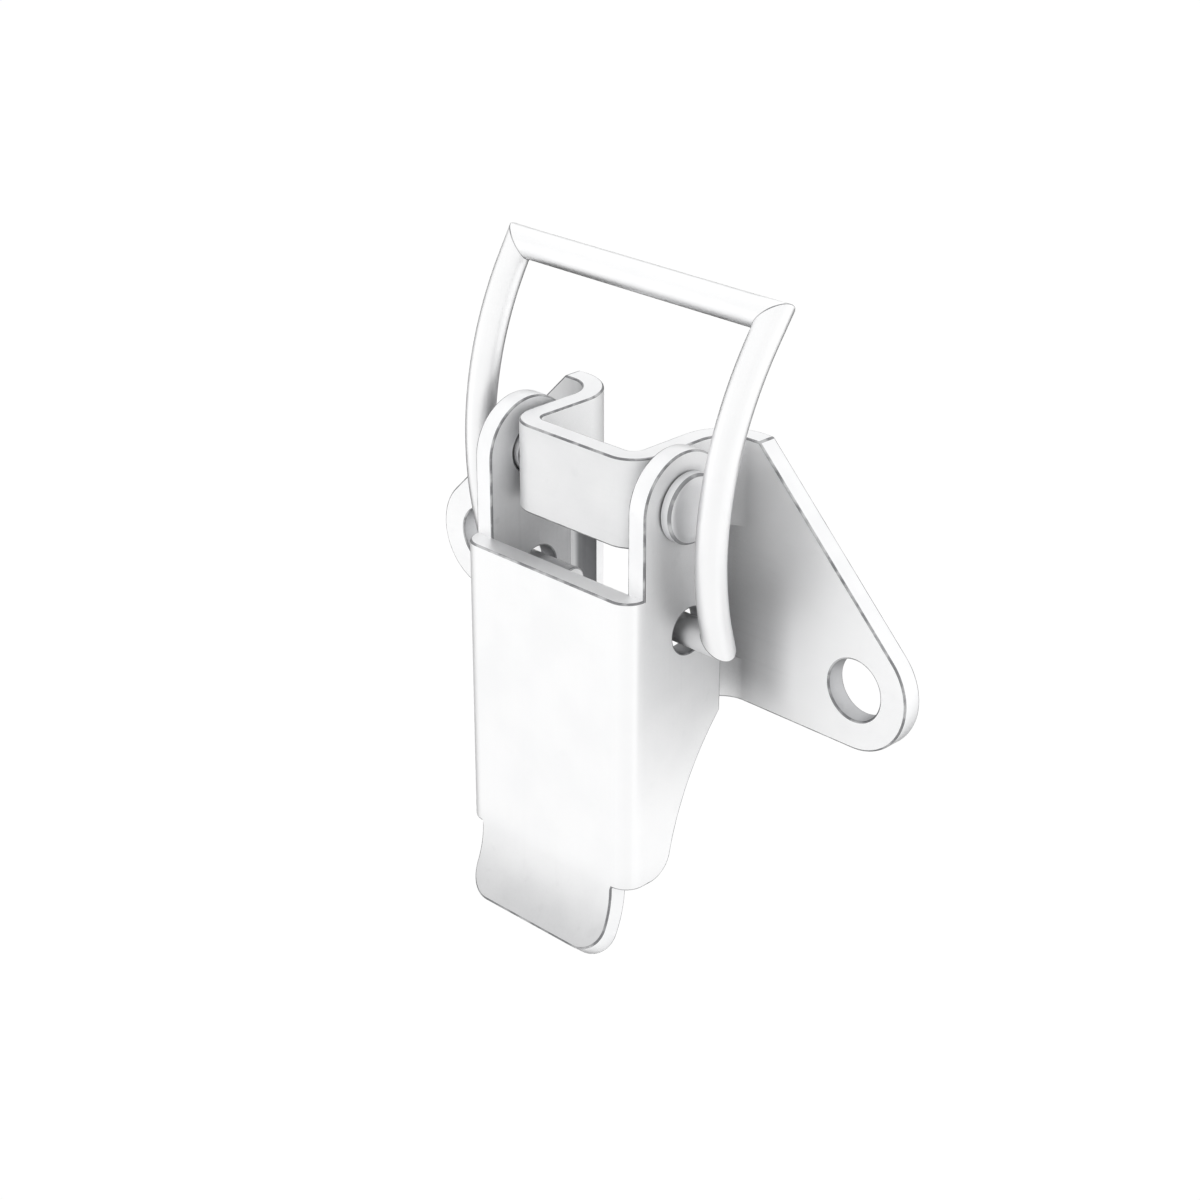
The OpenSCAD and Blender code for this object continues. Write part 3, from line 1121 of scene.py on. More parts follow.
@dataclass
class BasePlate(Piece):
    """The base plate: one folded sheet with two flat wings and a hump between them."""

    sheet: float = 1.5
    hole_spacing: float = 35.5
    screw_hole: float = 4.3
    lobe: float = 4.25
    top: float = 14.9
    top_width: float = 18.0
    hump_width: float = 12.0
    hump_depth: float = 10.0
    fold: float = 2.25
    root: float = 2.2
    upper_band: float = 6.3
    lower_band: float = 3.1
    window_width: float = 11.8
    axis: Pair = HINGE_MM
    tenon_hole: float = 1.74
    tail_recess: float = 2.4
    tail_recess_depth: float = 0.6
    rolled: float = 0.13
    past: float = 1.0
    window_past: float = 0.5
    tenon_past: float = 0.3
    screw_cut: float = 4.0
    lobe_steps: int = 40
    runout_low: tuple[float, float, float] = (5.5, -2.1, -2.0)
    runout_high: tuple[float, float, float] = (8.6, -0.7, 9.5)

    @property
    def foot(self) -> float:
        """The height of the plate's lower edge."""
        return -self.lobe

    @property
    def window(self) -> Pair:
        """The heights of the window's foot and top."""
        return self.foot + self.lower_band, self.top - self.upper_band

    def folded_blank(self) -> BMesh:
        """Folds the sheet's section and draws it out to the plate's height.

        Returns:
            The blank, wider than the wings.
        """
        half, front = self.hump_width / 2, -self.hump_depth
        inner = half - self.sheet
        end = self.hole_spacing / 2 + 2 * self.lobe
        outside = [(-end, -self.sheet), (-half, -self.sheet), (-half, front)]
        outside += [(-x, y) for x, y in reversed(outside)]
        inside = [(end, 0), (inner, 0), (inner, front + self.sheet)]
        inside += [(-x, y) for x, y in reversed(inside)]
        corners = [mm(x, y, self.foot) for x, y in outside + inside]
        root, fold, sheet = self.root * MM, self.fold * MM, self.sheet * MM
        rounds = {1: root, 4: root, 2: fold, 3: fold}
        rounds |= {7: root + sheet, 10: root + sheet, 8: fold - sheet, 9: fold - sheet}
        return prism(corners, rounds, mm(0, 0, self.top - self.foot), Surface.FACE)

    def outline(self) -> BMesh:
        """Makes the block inside which the blank is kept: a sloped plate with a round lobe at each screw.

        Returns:
            The block.
        """
        shoulder, lobe = Vector((self.top_width / 2, self.top)), Vector((self.hole_spacing / 2, 0))
        gap = shoulder - lobe
        bearing = math.atan2(gap.y, gap.x) - math.acos(self.lobe / gap.length)
        touch = lobe + self.lobe * Vector((math.cos(bearing), math.sin(bearing)))
        flat = FlatOutline(mm(0, self.past, 0), X_AXIS, Z_AXIS)
        flat.line_to((-shoulder.x, shoulder.y), shoulder, touch)
        flat.arc_to((lobe.x, self.foot), lobe, self.lobe_steps)
        flat.line_to((-lobe.x, self.foot))
        flat.arc_to((-touch.x, touch.y), (-lobe.x, lobe.y), self.lobe_steps)
        return flat.draw_out(mm(0, -self.hump_depth - 2 * self.past, 0))

    def cutters(self) -> list[BMesh]:
        """Makes what is cut away: the window, the screw holes and the rivets' holes.

        Returns:
            The cutters.
        """
        foot, top = self.window
        wide, narrow = self.hump_width / 2 + self.root + self.window_past, self.window_width / 2
        front = -self.hump_depth - self.past
        made = [
            block(mm(-wide, front, foot), mm(wide, -self.sheet, top)),
            block(mm(-narrow, front, foot), mm(narrow, self.past, top)),
        ]
        for hand in Side:
            screw = mm(hand.value * self.hole_spacing / 2, -self.sheet / 2, 0)
            made.append(round_bar(screw, Y_AXIS, self.screw_hole / 2 * MM, self.screw_cut * MM))
            wall = mm(hand.value * (self.hump_width - self.sheet) / 2, *self.axis)
            depth = (self.sheet + self.tenon_past) * MM
            made.append(round_bar(wall, X_AXIS, self.tenon_hole / 2 * MM, depth, segments=40))
            inside = self.hump_width / 2 - self.sheet - self.tail_recess_depth / 2
            recess = mm(hand.value * inside, *self.axis)
            depth = self.tail_recess_depth * MM
            made.append(round_bar(recess, X_AXIS, self.tail_recess / 2 * MM, depth, segments=48))
        return made

    def model(self) -> BMesh:
        """Models the plate.

        Returns:
            Its mesh.
        """
        steps = [(Join.KEEP_INSIDE, self.outline())] + [(Join.CUT, c) for c in self.cutters()]
        shape = combine(self.folded_blank(), steps)
        roll_edges(shape, self.rolled * MM, self.left_sharp)
        for face in shape.faces:
            # Painted shade: the window's cut on the left gets a dark finish; the one on the right keeps the
            # face finish.
            if face.normal.y < -FACING and self.in_window_cut(face):
                left = face.calc_center_median().x < 0
                face.material_index = (Surface.PAINTED_SHADE if left else Surface.FACE).value
        screws = [mm(hand.value * self.hole_spacing / 2, 0, 0) for hand in Side]
        paint_bores(shape, [(screw, Y_AXIS, self.screw_hole / 2 * MM) for screw in screws])
        return shape

    def in_window_cut(self, face: BMFace) -> bool:
        """Tells whether a face lies in the window's cut, level with the wings' front.

        Args:
            face: The face.

        Returns:
            True where it does.
        """
        middle = face.calc_center_median() / MM
        level = abs(middle.y + self.sheet) < LEVEL_MM
        across = self.window_width / 2 - 0.1 < abs(middle.x) < self.hump_width / 2 + self.root
        foot, top = self.window
        within = foot - 0.2 < middle.z < top + 0.2
        return level and across and within and face.material_index != Surface.FACE.value

    def left_sharp(self, edge: BMEdge) -> bool:
        """Tells whether an edge stays sharp: where the window runs out to nothing, and round a rivet's tail.

        Args:
            edge: The edge.

        Returns:
            True where it stays sharp.
        """
        middle = middle_of(edge)
        place = (abs(middle.x), middle.y, middle.z)
        run_out = all(low < at < high for low, at, high in zip(self.runout_low, place, self.runout_high))
        off_axis = math.hypot(middle.y - self.axis[0], middle.z - self.axis[1])
        return run_out or (abs(middle.x) < self.hump_width / 2 and off_axis < self.tail_recess / 2 + 0.2)


@dataclass
class Lever(Piece):
    """The lever: one folded channel with two round ears, swept sides and a tab that curls forward."""

    sheet: float = 1.5
    width: float = 15.8
    front: float = -12.5
    fold: float = 1.5
    back: float = -3.5
    ear: float = 3.75
    axis: Pair = HINGE_MM
    front_top: float = 6.3
    sweep_top: float = -4.25
    sweep: float = 20.4
    heel: float = 2.0
    foot: float = -15.1
    foot_depth: float = 4.0
    tab_straight: float = 0.25
    tab_curl: float = 7.1
    tab_angle: float = 40.5
    tab_corner: float = 2.1
    rivet_hole: float = 3.3
    pin_hole: float = 3.2
    pin: Pair = PIN_MM
    rolled: float = 0.13
    past: float = 1.0
    ear_steps: int = 24
    sweep_steps: int = 40
    heel_steps: int = 14
    curl_steps: int = 20

    @property
    def holes(self) -> tuple[tuple[Pair, float], ...]:
        """The middle and the diameter of the rivets' holes and of the pins' holes."""
        return (self.axis, self.rivet_hole), (self.pin, self.pin_hole)

    @property
    def curl_centre(self) -> Vector:
        """The place that the tab curls about, in metres."""
        return mm(0, self.front - self.tab_curl, self.foot - self.tab_straight)

    def channel(self) -> BMesh:
        """Folds the channel's section and draws it out to the lever's height.

        Returns:
            The channel.
        """
        half, inner_y = self.width / 2, self.front + self.sheet
        inner_x = half - self.sheet
        points = [(-half, self.back), (-half, self.front), (half, self.front), (half, self.back)]
        points += [(inner_x, self.back), (inner_x, inner_y), (-inner_x, inner_y), (-inner_x, self.back)]
        corners = [mm(x, y, self.foot) for x, y in points]
        rise = mm(0, 0, self.axis[1] + self.ear - self.foot)
        return prism(corners, {1: self.fold * MM, 2: self.fold * MM}, rise, Surface.FACE)

    def side_profile(self) -> BMesh:
        """Makes the block inside which the channel is kept: the ears, the sweep up the back and the heel.

        Returns:
            The block.
        """
        half = self.width / 2 + self.past
        start, end = Vector((self.back, self.sweep_top)), Vector((self.front + self.foot_depth, self.foot))
        chord = (end - start) / 2
        side = Vector((-chord.y, chord.x)).normalized()
        sweep = start + chord + side * math.sqrt(self.sweep**2 - chord.length_squared)
        heel_z = self.foot + self.heel
        reach = math.sqrt((self.sweep + self.heel) ** 2 - (heel_z - sweep.y) ** 2)
        heel = Vector((sweep.x - reach, heel_z))
        ear = Vector(self.axis)
        flat = FlatOutline(mm(-half, 0, 0), Y_AXIS, Z_AXIS)
        flat.line_to((self.front - self.past, self.foot), (self.front - self.past, self.front_top))
        flat.line_to((self.front + self.sheet, self.front_top), (ear.x - self.ear, ear.y))
        flat.arc_to((ear.x, ear.y + self.ear), ear, self.ear_steps)
        flat.arc_to((ear.x + self.ear, ear.y), ear, self.ear_steps)
        flat.line_to(start).arc_to(heel + (sweep - heel).normalized() * self.heel, sweep, self.sweep_steps)
        flat.arc_to((heel.x, self.foot), heel, self.heel_steps)
        return flat.draw_out(mm(2 * half, 0, 0))

    def tab(self) -> BMesh:
        """Curls the tab forward from the foot of the front sheet, and rounds its two corners.

        Returns:
            The tab, which starts inside the front sheet.
        """
        half = self.width / 2 - self.fold
        low = self.foot - self.tab_straight
        shape = block(mm(-half, self.front, low), mm(half, self.front + self.sheet, self.foot + self.past))
        end = min(shape.faces, key=lambda f: f.calc_center_median().z)
        made = bmesh.ops.spin(
            shape,
            geom=[end, *end.edges, *end.verts],
            cent=self.curl_centre,
            axis=X_AXIS,
            angle=-math.radians(self.tab_angle),
            steps=self.curl_steps,
        )
        tip = next(f for f in made["geom_last"] if isinstance(f, BMFace))
        bmesh.ops.remove_doubles(shape, verts=shape.verts, dist=MERGE)
        bmesh.ops.recalc_face_normals(shape, faces=shape.faces)
        for face in shape.faces:
            sheet_face = abs(face.normal.x) < 0.5 and face is not tip
            face.material_index = (Surface.FACE if sheet_face else Surface.CUT_EDGE).value
        return shape

    def tab_corners(self) -> list[BMesh]:
        """Makes the two cutters that round the tab's corners, square to the sheet at its tip.

        Returns:
            The cutters.
        """
        half, r, past = self.width / 2 - self.fold, self.tab_corner, self.past
        turn = Matrix.Translation(self.curl_centre) @ Matrix.Rotation(-math.radians(self.tab_angle), 4, "X")
        points = [(half + past, -past), (half + past, r), (half, r)]
        points += [(half, 0), (half - r, 0), (half - r, -past)]
        near, far = self.tab_curl - past, self.tab_curl + self.sheet + past
        made = []
        for hand in Side:
            corners = [mm(hand.value * x, near, z) for x, z in points]
            shape = prism(corners, {3: r * MM}, mm(0, far - near, 0), Surface.CUT_EDGE)
            bmesh.ops.transform(shape, verts=shape.verts, matrix=turn)
            made.append(shape)
        return made

    def model(self) -> BMesh:
        """Models the lever.

        Returns:
            Its mesh.
        """
        steps = [(Join.KEEP_INSIDE, self.side_profile()), (Join.ADD, self.tab())]
        steps += [(Join.CUT, c) for c in self.tab_corners()]
        for middle, hole in self.holes:
            bar = round_bar(mm(0, *middle), X_AXIS, hole / 2 * MM, (self.width + 2 * self.past) * MM)
            steps.append((Join.CUT, bar))
        shape = combine(self.channel(), steps)
        roll_edges(shape, self.rolled * MM, self.left_sharp)
        for face in shape.faces:
            # The channel's inner walls get the darker inside finish, as painted shade.
            if self.in_channel(face):
                face.material_index = Surface.PAINTED_SHADE.value
        paint_bores(shape, [(mm(0, *middle), X_AXIS, hole / 2 * MM) for middle, hole in self.holes])
        return shape

    def in_channel(self, face: BMFace) -> bool:
        """Tells whether a face is one of the channel's three inner walls, which get a darker copy of the
        plating as painted shade.

        Args:
            face: The face.

        Returns:
            True where it is one of them.
        """
        middle = face.calc_center_median() / MM
        side = self.width / 2 - self.sheet
        ears = abs(face.normal.x) > FACING and abs(abs(middle.x) - side) < LEVEL_MM
        web = face.normal.y > FACING and abs(middle.y - self.front - self.sheet) < LEVEL_MM
        return (ears or web) and middle.z > self.foot and middle.y > self.front + self.sheet - 0.1

    def left_sharp(self, edge: BMEdge) -> bool:
        """Tells whether an edge stays sharp: in the inner corner between an ear and the front sheet.

        Args:
            edge: The edge.

        Returns:
            True where it stays sharp.
        """
        level = abs(edge.verts[0].co.z - edge.verts[1].co.z) < 0.01 * MM
        return level and not edge.is_convex and abs(middle_of(edge).y - self.front - self.sheet) < 0.01


@dataclass
class WireRun:
    """A round wire drawn on ring by ring from its first end, with the place along it kept for its finish."""

    radius: float
    sides: int
    shape: BMesh = field(default_factory=bmesh.new)
    ring: list[BMEdge] = field(default_factory=list)
    verts: list[BMVert] = field(default_factory=list)
    layer: bmesh.types.BMLayerItem | None = None

    def start(self, centre: Vector) -> None:
        """Makes the wire's first end, square to X.

        Args:
            centre: The end's middle, in metres.
        """
        self.layer = self.shape.verts.layers.float_vector.new(WIRE_PLACE)
        cap = bmesh.ops.create_circle(
            self.shape,
            cap_ends=True,
            segments=self.sides,
            radius=self.radius,
            matrix=Matrix.Translation(centre) @ Matrix.Rotation(math.pi / 2, 4, "Y"),
        )
        for v in cap["verts"]:
            v[self.layer] = Vector((v.co.y - centre.y, v.co.z - centre.z, 0))
        self.ring = self.shape.edges[:]

    def draw(self, along: float) -> None:
        """Draws on a new ring in the same place.

        Args:
            along: The new ring's place along the wire, in metres.
        """
        grown = bmesh.ops.extrude_edge_only(self.shape, edges=self.ring)["geom"]
        self.verts = [g for g in grown if isinstance(g, BMVert)]
        for v in self.verts:
            v[self.layer] = Vector((v[self.layer].x, v[self.layer].y, along))
        kept = set(self.verts)
        self.ring = [g for g in grown if isinstance(g, BMEdge) and kept.issuperset(g.verts)]

    def slide(self, way: Vector, point: Vector, plane: Vector) -> None:
        """Slides the last ring along a direction on to a plane.

        Args:
            way: The direction.
            point: A point of the plane, in metres.
            plane: The plane's normal.
        """
        for v in self.verts:
            v.co += way * ((point - v.co).dot(plane) / way.dot(plane))

    def fit_round(self, middle: Vector) -> None:
        """Sets the last ring at the wire's radius from a middle."""
        for v in self.verts:
            v.co = middle + (v.co - middle).normalized() * self.radius


@dataclass
class LegArc:
    """The arc of the bail's right leg, in metres."""

    foot: Vector
    head: Vector
    normal: Vector
    turn: float
    centre: Vector = field(init=False)
    radius: float = field(init=False)
    sign: int = field(init=False)

    def __post_init__(self) -> None:
        """Works out the arc's centre, its radius and the sense in which it rises."""
        chord = self.head - self.foot
        self.radius = chord.length / 2 / math.sin(self.turn / 2)
        behind = self.normal.cross(chord).normalized()
        if behind.y < 0:
            behind = -behind
        rise = math.sqrt(self.radius**2 - (chord.length / 2) ** 2)
        self.centre = (self.foot + self.head) / 2 + behind * rise
        arm = self.foot - self.centre
        self.sign = -1 if (Matrix.Rotation(0.01, 3, self.normal) @ arm).z < arm.z else 1

    def turned(self, angle: float) -> Matrix:
        """Gives the turn up the leg through an angle."""
        return Matrix.Rotation(self.sign * angle, 3, self.normal)

    def at(self, angle: float) -> tuple[Vector, Vector]:
        """Gives the wire's centre and direction at an angle up the leg from its foot."""
        arm = self.turned(angle) @ (self.foot - self.centre)
        return self.centre + arm, (self.normal.cross(arm) * self.sign).normalized()


@dataclass
class Bail(Piece):
    """The bail: a loop of drawn wire with two bowed legs, a bar, and two pins that point inwards."""

    wire: float = 1.05
    pin: Pair = PIN_MM
    pin_end: float = 3.0
    leg_width: float = 20.9
    bar_width: float = 22.9
    height: float = 21.65
    lean: float = 3.4
    bow: float = 54.6
    sides: int = 48
    leg_steps: int = 44
    mitre_reach: float = 1.25
    bar_rings: tuple[float, ...] = (0.85, 0.4, 0.0)
    end_chamfer: float = 0.12
    crease: float = 0.045

    def leg(self) -> LegArc:
        """Works out the right leg's arc.

        Returns:
            The arc.
        """
        pin_y, pin_z = self.pin
        foot = mm(self.leg_width / 2, pin_y, pin_z)
        head = mm(self.bar_width / 2, pin_y + self.lean, pin_z + self.height)
        splay = math.atan2((self.bar_width - self.leg_width) / 2, self.height)
        return LegArc(foot, head, Vector((math.cos(splay), 0, -math.sin(splay))), math.radians(self.bow))

    def right_half(self, leg: LegArc) -> BMesh:
        """Draws the wire from the right pin's end, up the leg and round to the middle of the bar.

        Args:
            leg: The leg's arc.

        Returns:
            Half the bail, open at the middle.
        """
        foot, head, end = leg.foot, leg.head, self.pin_end * MM
        run = WireRun(self.wire * MM, self.sides)
        run.start(Vector((end, foot.y, foot.z)))
        pin_length = self.leg_width / 2 * MM - end
        run.draw(pin_length * 0.5)
        bmesh.ops.translate(run.shape, verts=run.verts, vec=X_AXIS * pin_length * 0.5)
        run.draw(pin_length)
        run.slide(X_AXIS, foot, leg.at(0)[1] + X_AXIS)
        past = self.mitre_reach * run.radius / leg.radius
        middle, way = leg.at(past)
        run.draw(pin_length + past * leg.radius)
        run.slide(way, middle, way)
        run.fit_round(middle)
        last = past
        for step in range(1, self.leg_steps + 1):
            angle = past + (leg.turn - 2 * past) * step / self.leg_steps
            run.draw(pin_length + angle * leg.radius)
            bmesh.ops.rotate(run.shape, verts=run.verts, cent=leg.centre, matrix=leg.turned(angle - last))
            last = angle
        leg_length = pin_length + leg.turn * leg.radius
        run.draw(leg_length)
        run.slide(leg.at(leg.turn - past)[1], head, leg.at(leg.turn)[1] - X_AXIS)
        for share in self.bar_rings:
            run.draw(leg_length + head.x * (1 - share))
            bar_middle = Vector((head.x * share, head.y, head.z))
            run.slide(X_AXIS, bar_middle, X_AXIS)
            run.fit_round(bar_middle)
        return run.shape

    def model(self) -> BMesh:
        """Models the bail: its right half, mirrored, with chamfered ends and creased mitres.

        Returns:
            Its mesh.
        """
        leg = self.leg()
        shape = self.right_half(leg)
        whole = shape.verts[:] + shape.edges[:] + shape.faces[:]
        bmesh.ops.mirror(shape, geom=whole, axis="X", merge_dist=MERGE)
        bmesh.ops.recalc_face_normals(shape, faces=shape.faces)
        end = self.pin_end * MM
        rims = [e for e in shape.edges if all(abs(abs(v.co.x) - end) < 0.01 * MM for v in e.verts)]
        creases = [e for e in shape.edges if self.on_mitre(e, leg.foot, X_AXIS + leg.at(0)[1])]
        creases += [e for e in shape.edges if self.on_mitre(e, leg.head, leg.at(leg.turn)[1] - X_AXIS)]
        layer = shape.loops.layers.float.new(EDGE_MARK)
        for edges, width in ((rims, self.end_chamfer), (creases, self.crease)):
            mark_edge_faces(bevel(shape, edges, width * MM, CREASE_STEPS, held_apart=True), layer)
        return shape

    def on_mitre(self, edge: BMEdge, corner: Vector, plane: Vector) -> bool:
        """Tells whether an edge lies in a mitre, on either side of the bail.

        Args:
            edge: The edge.
            corner: The right mitre's middle, in metres.
            plane: The right mitre's normal.

        Returns:
            True where both its ends lie in the mitre.
        """
        right = [Vector((abs(v.co.x), v.co.y, v.co.z)) - corner for v in edge.verts]
        flat = plane.normalized()
        return all(abs(p.dot(flat)) < 0.002 * MM and p.length < 3 * self.wire * MM for p in right)


@dataclass
class Rivet(Piece):
    """A rivet: a flat head, the shoulder that the lever turns on, a tenon and a formed tail."""

    hand: Side = Side.RIGHT
    axis: Pair = HINGE_MM
    head: float = 4.8
    head_from: float = 7.95
    head_to: float = 8.75
    head_chamfer: float = 0.12
    head_round: float = 0.06
    head_dish: float = 0.03
    shoulder: float = 3.2
    shoulder_from: float = 6.0
    tenon: float = 1.7
    tail: float = 2.3
    tail_from: float = 4.5
    tail_to: float = 3.95
    tail_chamfer: float = 0.2
    turn_steps: int = 96

    def model(self) -> BMesh:
        """Turns the rivet from its profile.

        Returns:
            Its mesh.
        """
        head, shoulder, tenon, tail = (d / 2 for d in (self.head, self.shoulder, self.tenon, self.tail))
        profile = [
            (0.0, self.head_to - self.head_dish),
            (head * 0.35, self.head_to - self.head_dish + 0.008),
            (head * 0.72, self.head_to),
            (head - self.head_chamfer - self.head_round, self.head_to),
            (head - 0.05, self.head_to - self.head_chamfer * 0.7),
            (head, self.head_to - self.head_chamfer * 1.6),
            (head, self.head_from + self.head_round),
            (head - self.head_round, self.head_from),
            (shoulder, self.head_from),
            (shoulder, self.shoulder_from),
            (tenon, self.shoulder_from),
            (tenon, self.tail_from),
            (tail, self.tail_from),
            (tail, self.tail_to + self.tail_chamfer),
            (tail - self.tail_chamfer, self.tail_to),
            (0.0, self.tail_to),
        ]
        shape = bmesh.new()
        y, z = self.axis
        points = [shape.verts.new(mm(self.hand.value * x, y + r, z)) for r, x in profile]
        edges = [shape.edges.new(pair) for pair in zip(points, points[1:])]
        bmesh.ops.spin(
            shape,
            geom=points + edges,
            cent=mm(0, y, z),
            axis=X_AXIS,
            angle=2 * math.pi,
            steps=self.turn_steps,
            use_merge=True,
        )
        bmesh.ops.remove_doubles(shape, verts=shape.verts, dist=0.0005 * MM)
        bmesh.ops.recalc_face_normals(shape, faces=shape.faces)
        layer = shape.loops.layers.float.new(EDGE_MARK)
        mark_edge_faces([f for f in shape.faces if self.on_rim(f)], layer)
        return shape

    def on_rim(self, face: BMFace) -> bool:
        """Tells whether a face lies on the head's rolled rim.

        Args:
            face: The face.

        Returns:
            True where it does.
        """
        middle = face.calc_center_median() - mm(0, *self.axis)
        out = math.hypot(middle.y, middle.z)
        return out > (self.head / 2 - self.head_chamfer) * MM and 0.1 < abs(face.normal.x) < 0.97


@dataclass(frozen=True)
class Lamp:
    """A soft square lamp: its bearing and height in degrees, its distance and width in metres, its watts."""

    name: str
    azimuth: float
    elevation: float
    reach: float
    width: float
    power: float


@dataclass
class Studio:
    """The floor, the lamps, the world and the camera."""

    target_mm: tuple[float, float, float] = (-3.226, -3.84, 0.36)
    distance_mm: float = 173.872
    azimuth: float = 44.889
    elevation: float = 25.063
    lens_mm: float = 74.751
    floor_mm: float = -350.0
    floor_half: float = 6.0
    floor_paint: Colour = (0.8, 0.8, 0.8)
    floor_white: float = 1.02
    floor_share: float = 0.96
    floor_glow: float = 1.05
    sky_glow: float = 1.05
    card_way: tuple[float, float, float] = (-0.64, 0.64, -0.42)
    card_dark: float = 1.0
    card_inner: float = 48.0
    card_outer: float = 57.0
    card_top: Pair = (0.06, 0.3)
    lamps: tuple[Lamp, ...] = (
        Lamp("key", -45, -8, 0.7, 0.5, 0.12),
        Lamp("fill", 125, -5, 0.7, 0.4, 0.1),
        Lamp("top", -120, 50, 0.7, 0.4, 0.05),
    )

    def way(self, azimuth: float, elevation: float) -> Vector:
        """Gives the unit vector from the latch towards an azimuth and elevation, in degrees."""
        a, e = math.radians(azimuth), math.radians(elevation)
        return Vector((math.sin(a) * math.cos(e), -math.cos(a) * math.cos(e), math.sin(e)))

    def aim(self, made: bpy.types.Object, azimuth: float, elevation: float, reach: float) -> None:
        """Places a lamp or the camera round the target, facing it.

        Args:
            made: The lamp or camera.
            azimuth: Its bearing, in degrees.
            elevation: Its height above the horizon, in degrees.
            reach: Its distance, in metres.
        """
        back = self.way(azimuth, elevation)
        made.location = Vector(self.target_mm) * MM + back * reach
        made.rotation_mode = "QUATERNION"
        made.rotation_quaternion = (-back).to_track_quat("-Z", "Y")
        bpy.context.scene.collection.objects.link(made)

    def camera(self) -> None:
        """Makes the camera at the photograph's view."""
        data = bpy.data.cameras.new("camera")
        data.lens = self.lens_mm
        data.sensor_width = 36.0
        data.clip_start = 0.01
        data.clip_end = 20.0
        made = bpy.data.objects.new("camera", data)
        self.aim(made, self.azimuth, self.elevation, self.distance_mm * MM)
        bpy.context.scene.camera = made

    def light(self, lamp: Lamp) -> None:
        """Adds a lamp that faces the latch.

        Args:
            lamp: The lamp.
        """
        data = bpy.data.lights.new(lamp.name, "AREA")
        data.shape = "SQUARE"
        data.size = lamp.width
        data.energy = lamp.power
        self.aim(bpy.data.objects.new(lamp.name, data), lamp.azimuth, lamp.elevation, lamp.reach)

    def make_card(self) -> bpy.types.NodeTree:
        """Makes the group for the dark card behind the latch, which draws its edges.

        Returns:
            The node group, with a Light output: what is left beside the card, from 0 to 1.
        """
        bench = GroupBench("dark_card", {"Way": Vector((0, 0, 1))})
        unit = bench.vectors("NORMALIZE", bench.given["Way"])["Vector"]
        towards = bench.vectors("DOT_PRODUCT", unit, Vector(self.card_way).normalized())["Value"]
        low, high = math.cos(math.radians(self.card_outer)), math.cos(math.radians(self.card_inner))
        dark = bench.step(towards, low, high)
        over = bench.step(bench.split(unit)["Z"], *self.card_top)
        dark = bench.maths("MULTIPLY", dark, bench.maths("SUBTRACT", 1.0, over))
        return bench.close({"Light": bench.maths("MULTIPLY_ADD", dark, -self.card_dark, 1.0)})

    def floor(self, card: bpy.types.NodeTree) -> None:
        """Makes the white floor, which the camera sees as plain white and the metal with the card in it.

        Args:
            card: The group for the dark card.
        """
        shape = bmesh.new()
        bmesh.ops.create_grid(shape, x_segments=1, y_segments=1, size=self.floor_half)
        bmesh.ops.translate(shape, verts=shape.verts, vec=(0, 0, self.floor_mm * MM))
        paint = bpy.data.materials.new("white_floor")
        paint.use_nodes = True
        bench = NodeBench(paint.node_tree)
        path = bench.add("ShaderNodeLightPath").outputs
        straight = bench.maths("MAXIMUM", path["Is Camera Ray"], path["Is Transmission Ray"])
        seen = bench.maths("MAXIMUM", straight, path["Is Glossy Ray"])
        matt = bench.filled("ShaderNodeBsdfDiffuse", {"Color": self.floor_paint})
        place = bench.add("ShaderNodeTexCoord").outputs["Object"]
        shaded = bench.maths("MULTIPLY", bench.effect(card, {"Way": place})["Light"], self.floor_glow)
        strength = bench.maths("MAXIMUM", bench.maths("MULTIPLY", straight, self.floor_white), shaded)
        glow = bench.filled("ShaderNodeEmission", {"Color": WHITE, "Strength": strength})
        mix = bench.filled("ShaderNodeMixShader", {"Fac": bench.maths("MULTIPLY", seen, self.floor_share)})
        bench.feed(mix.inputs[1], matt.outputs["BSDF"])
        bench.feed(mix.inputs[2], glow.outputs["Emission"])
        bench.filled("ShaderNodeOutputMaterial", {"Surface": mix.outputs["Shader"]})
        made = placed_object(shape, "floor", [paint])

    def world(self, card: bpy.types.NodeTree) -> None:
        """Makes the even white surroundings.

        Args:
            card: The group for the dark card.
        """
        world = bpy.data.worlds.new("studio")
        world.use_nodes = True
        bench = NodeBench(world.node_tree)
        path = bench.add("ShaderNodeLightPath").outputs
        seen = bench.maths("MAXIMUM", path["Is Camera Ray"], path["Is Transmission Ray"])
        place = bench.add("ShaderNodeTexCoord").outputs["Generated"]
        shaded = bench.maths("MULTIPLY", bench.effect(card, {"Way": place})["Light"], self.sky_glow)
        strength = bench.maths("MAXIMUM", seen, shaded)
        sky = bench.filled("ShaderNodeBackground", {"Color": WHITE, "Strength": strength})
        bench.filled("ShaderNodeOutputWorld", {"Surface": sky.outputs["Background"]})
        bpy.context.scene.world = world

    def build(self) -> None:
        """Sets up the whole studio."""
        bpy.context.scene.view_settings.view_transform = "Standard"
        self.camera()
        card = self.make_card()
        self.floor(card)
        self.world(card)
        for lamp in self.lamps:
            self.light(lamp)


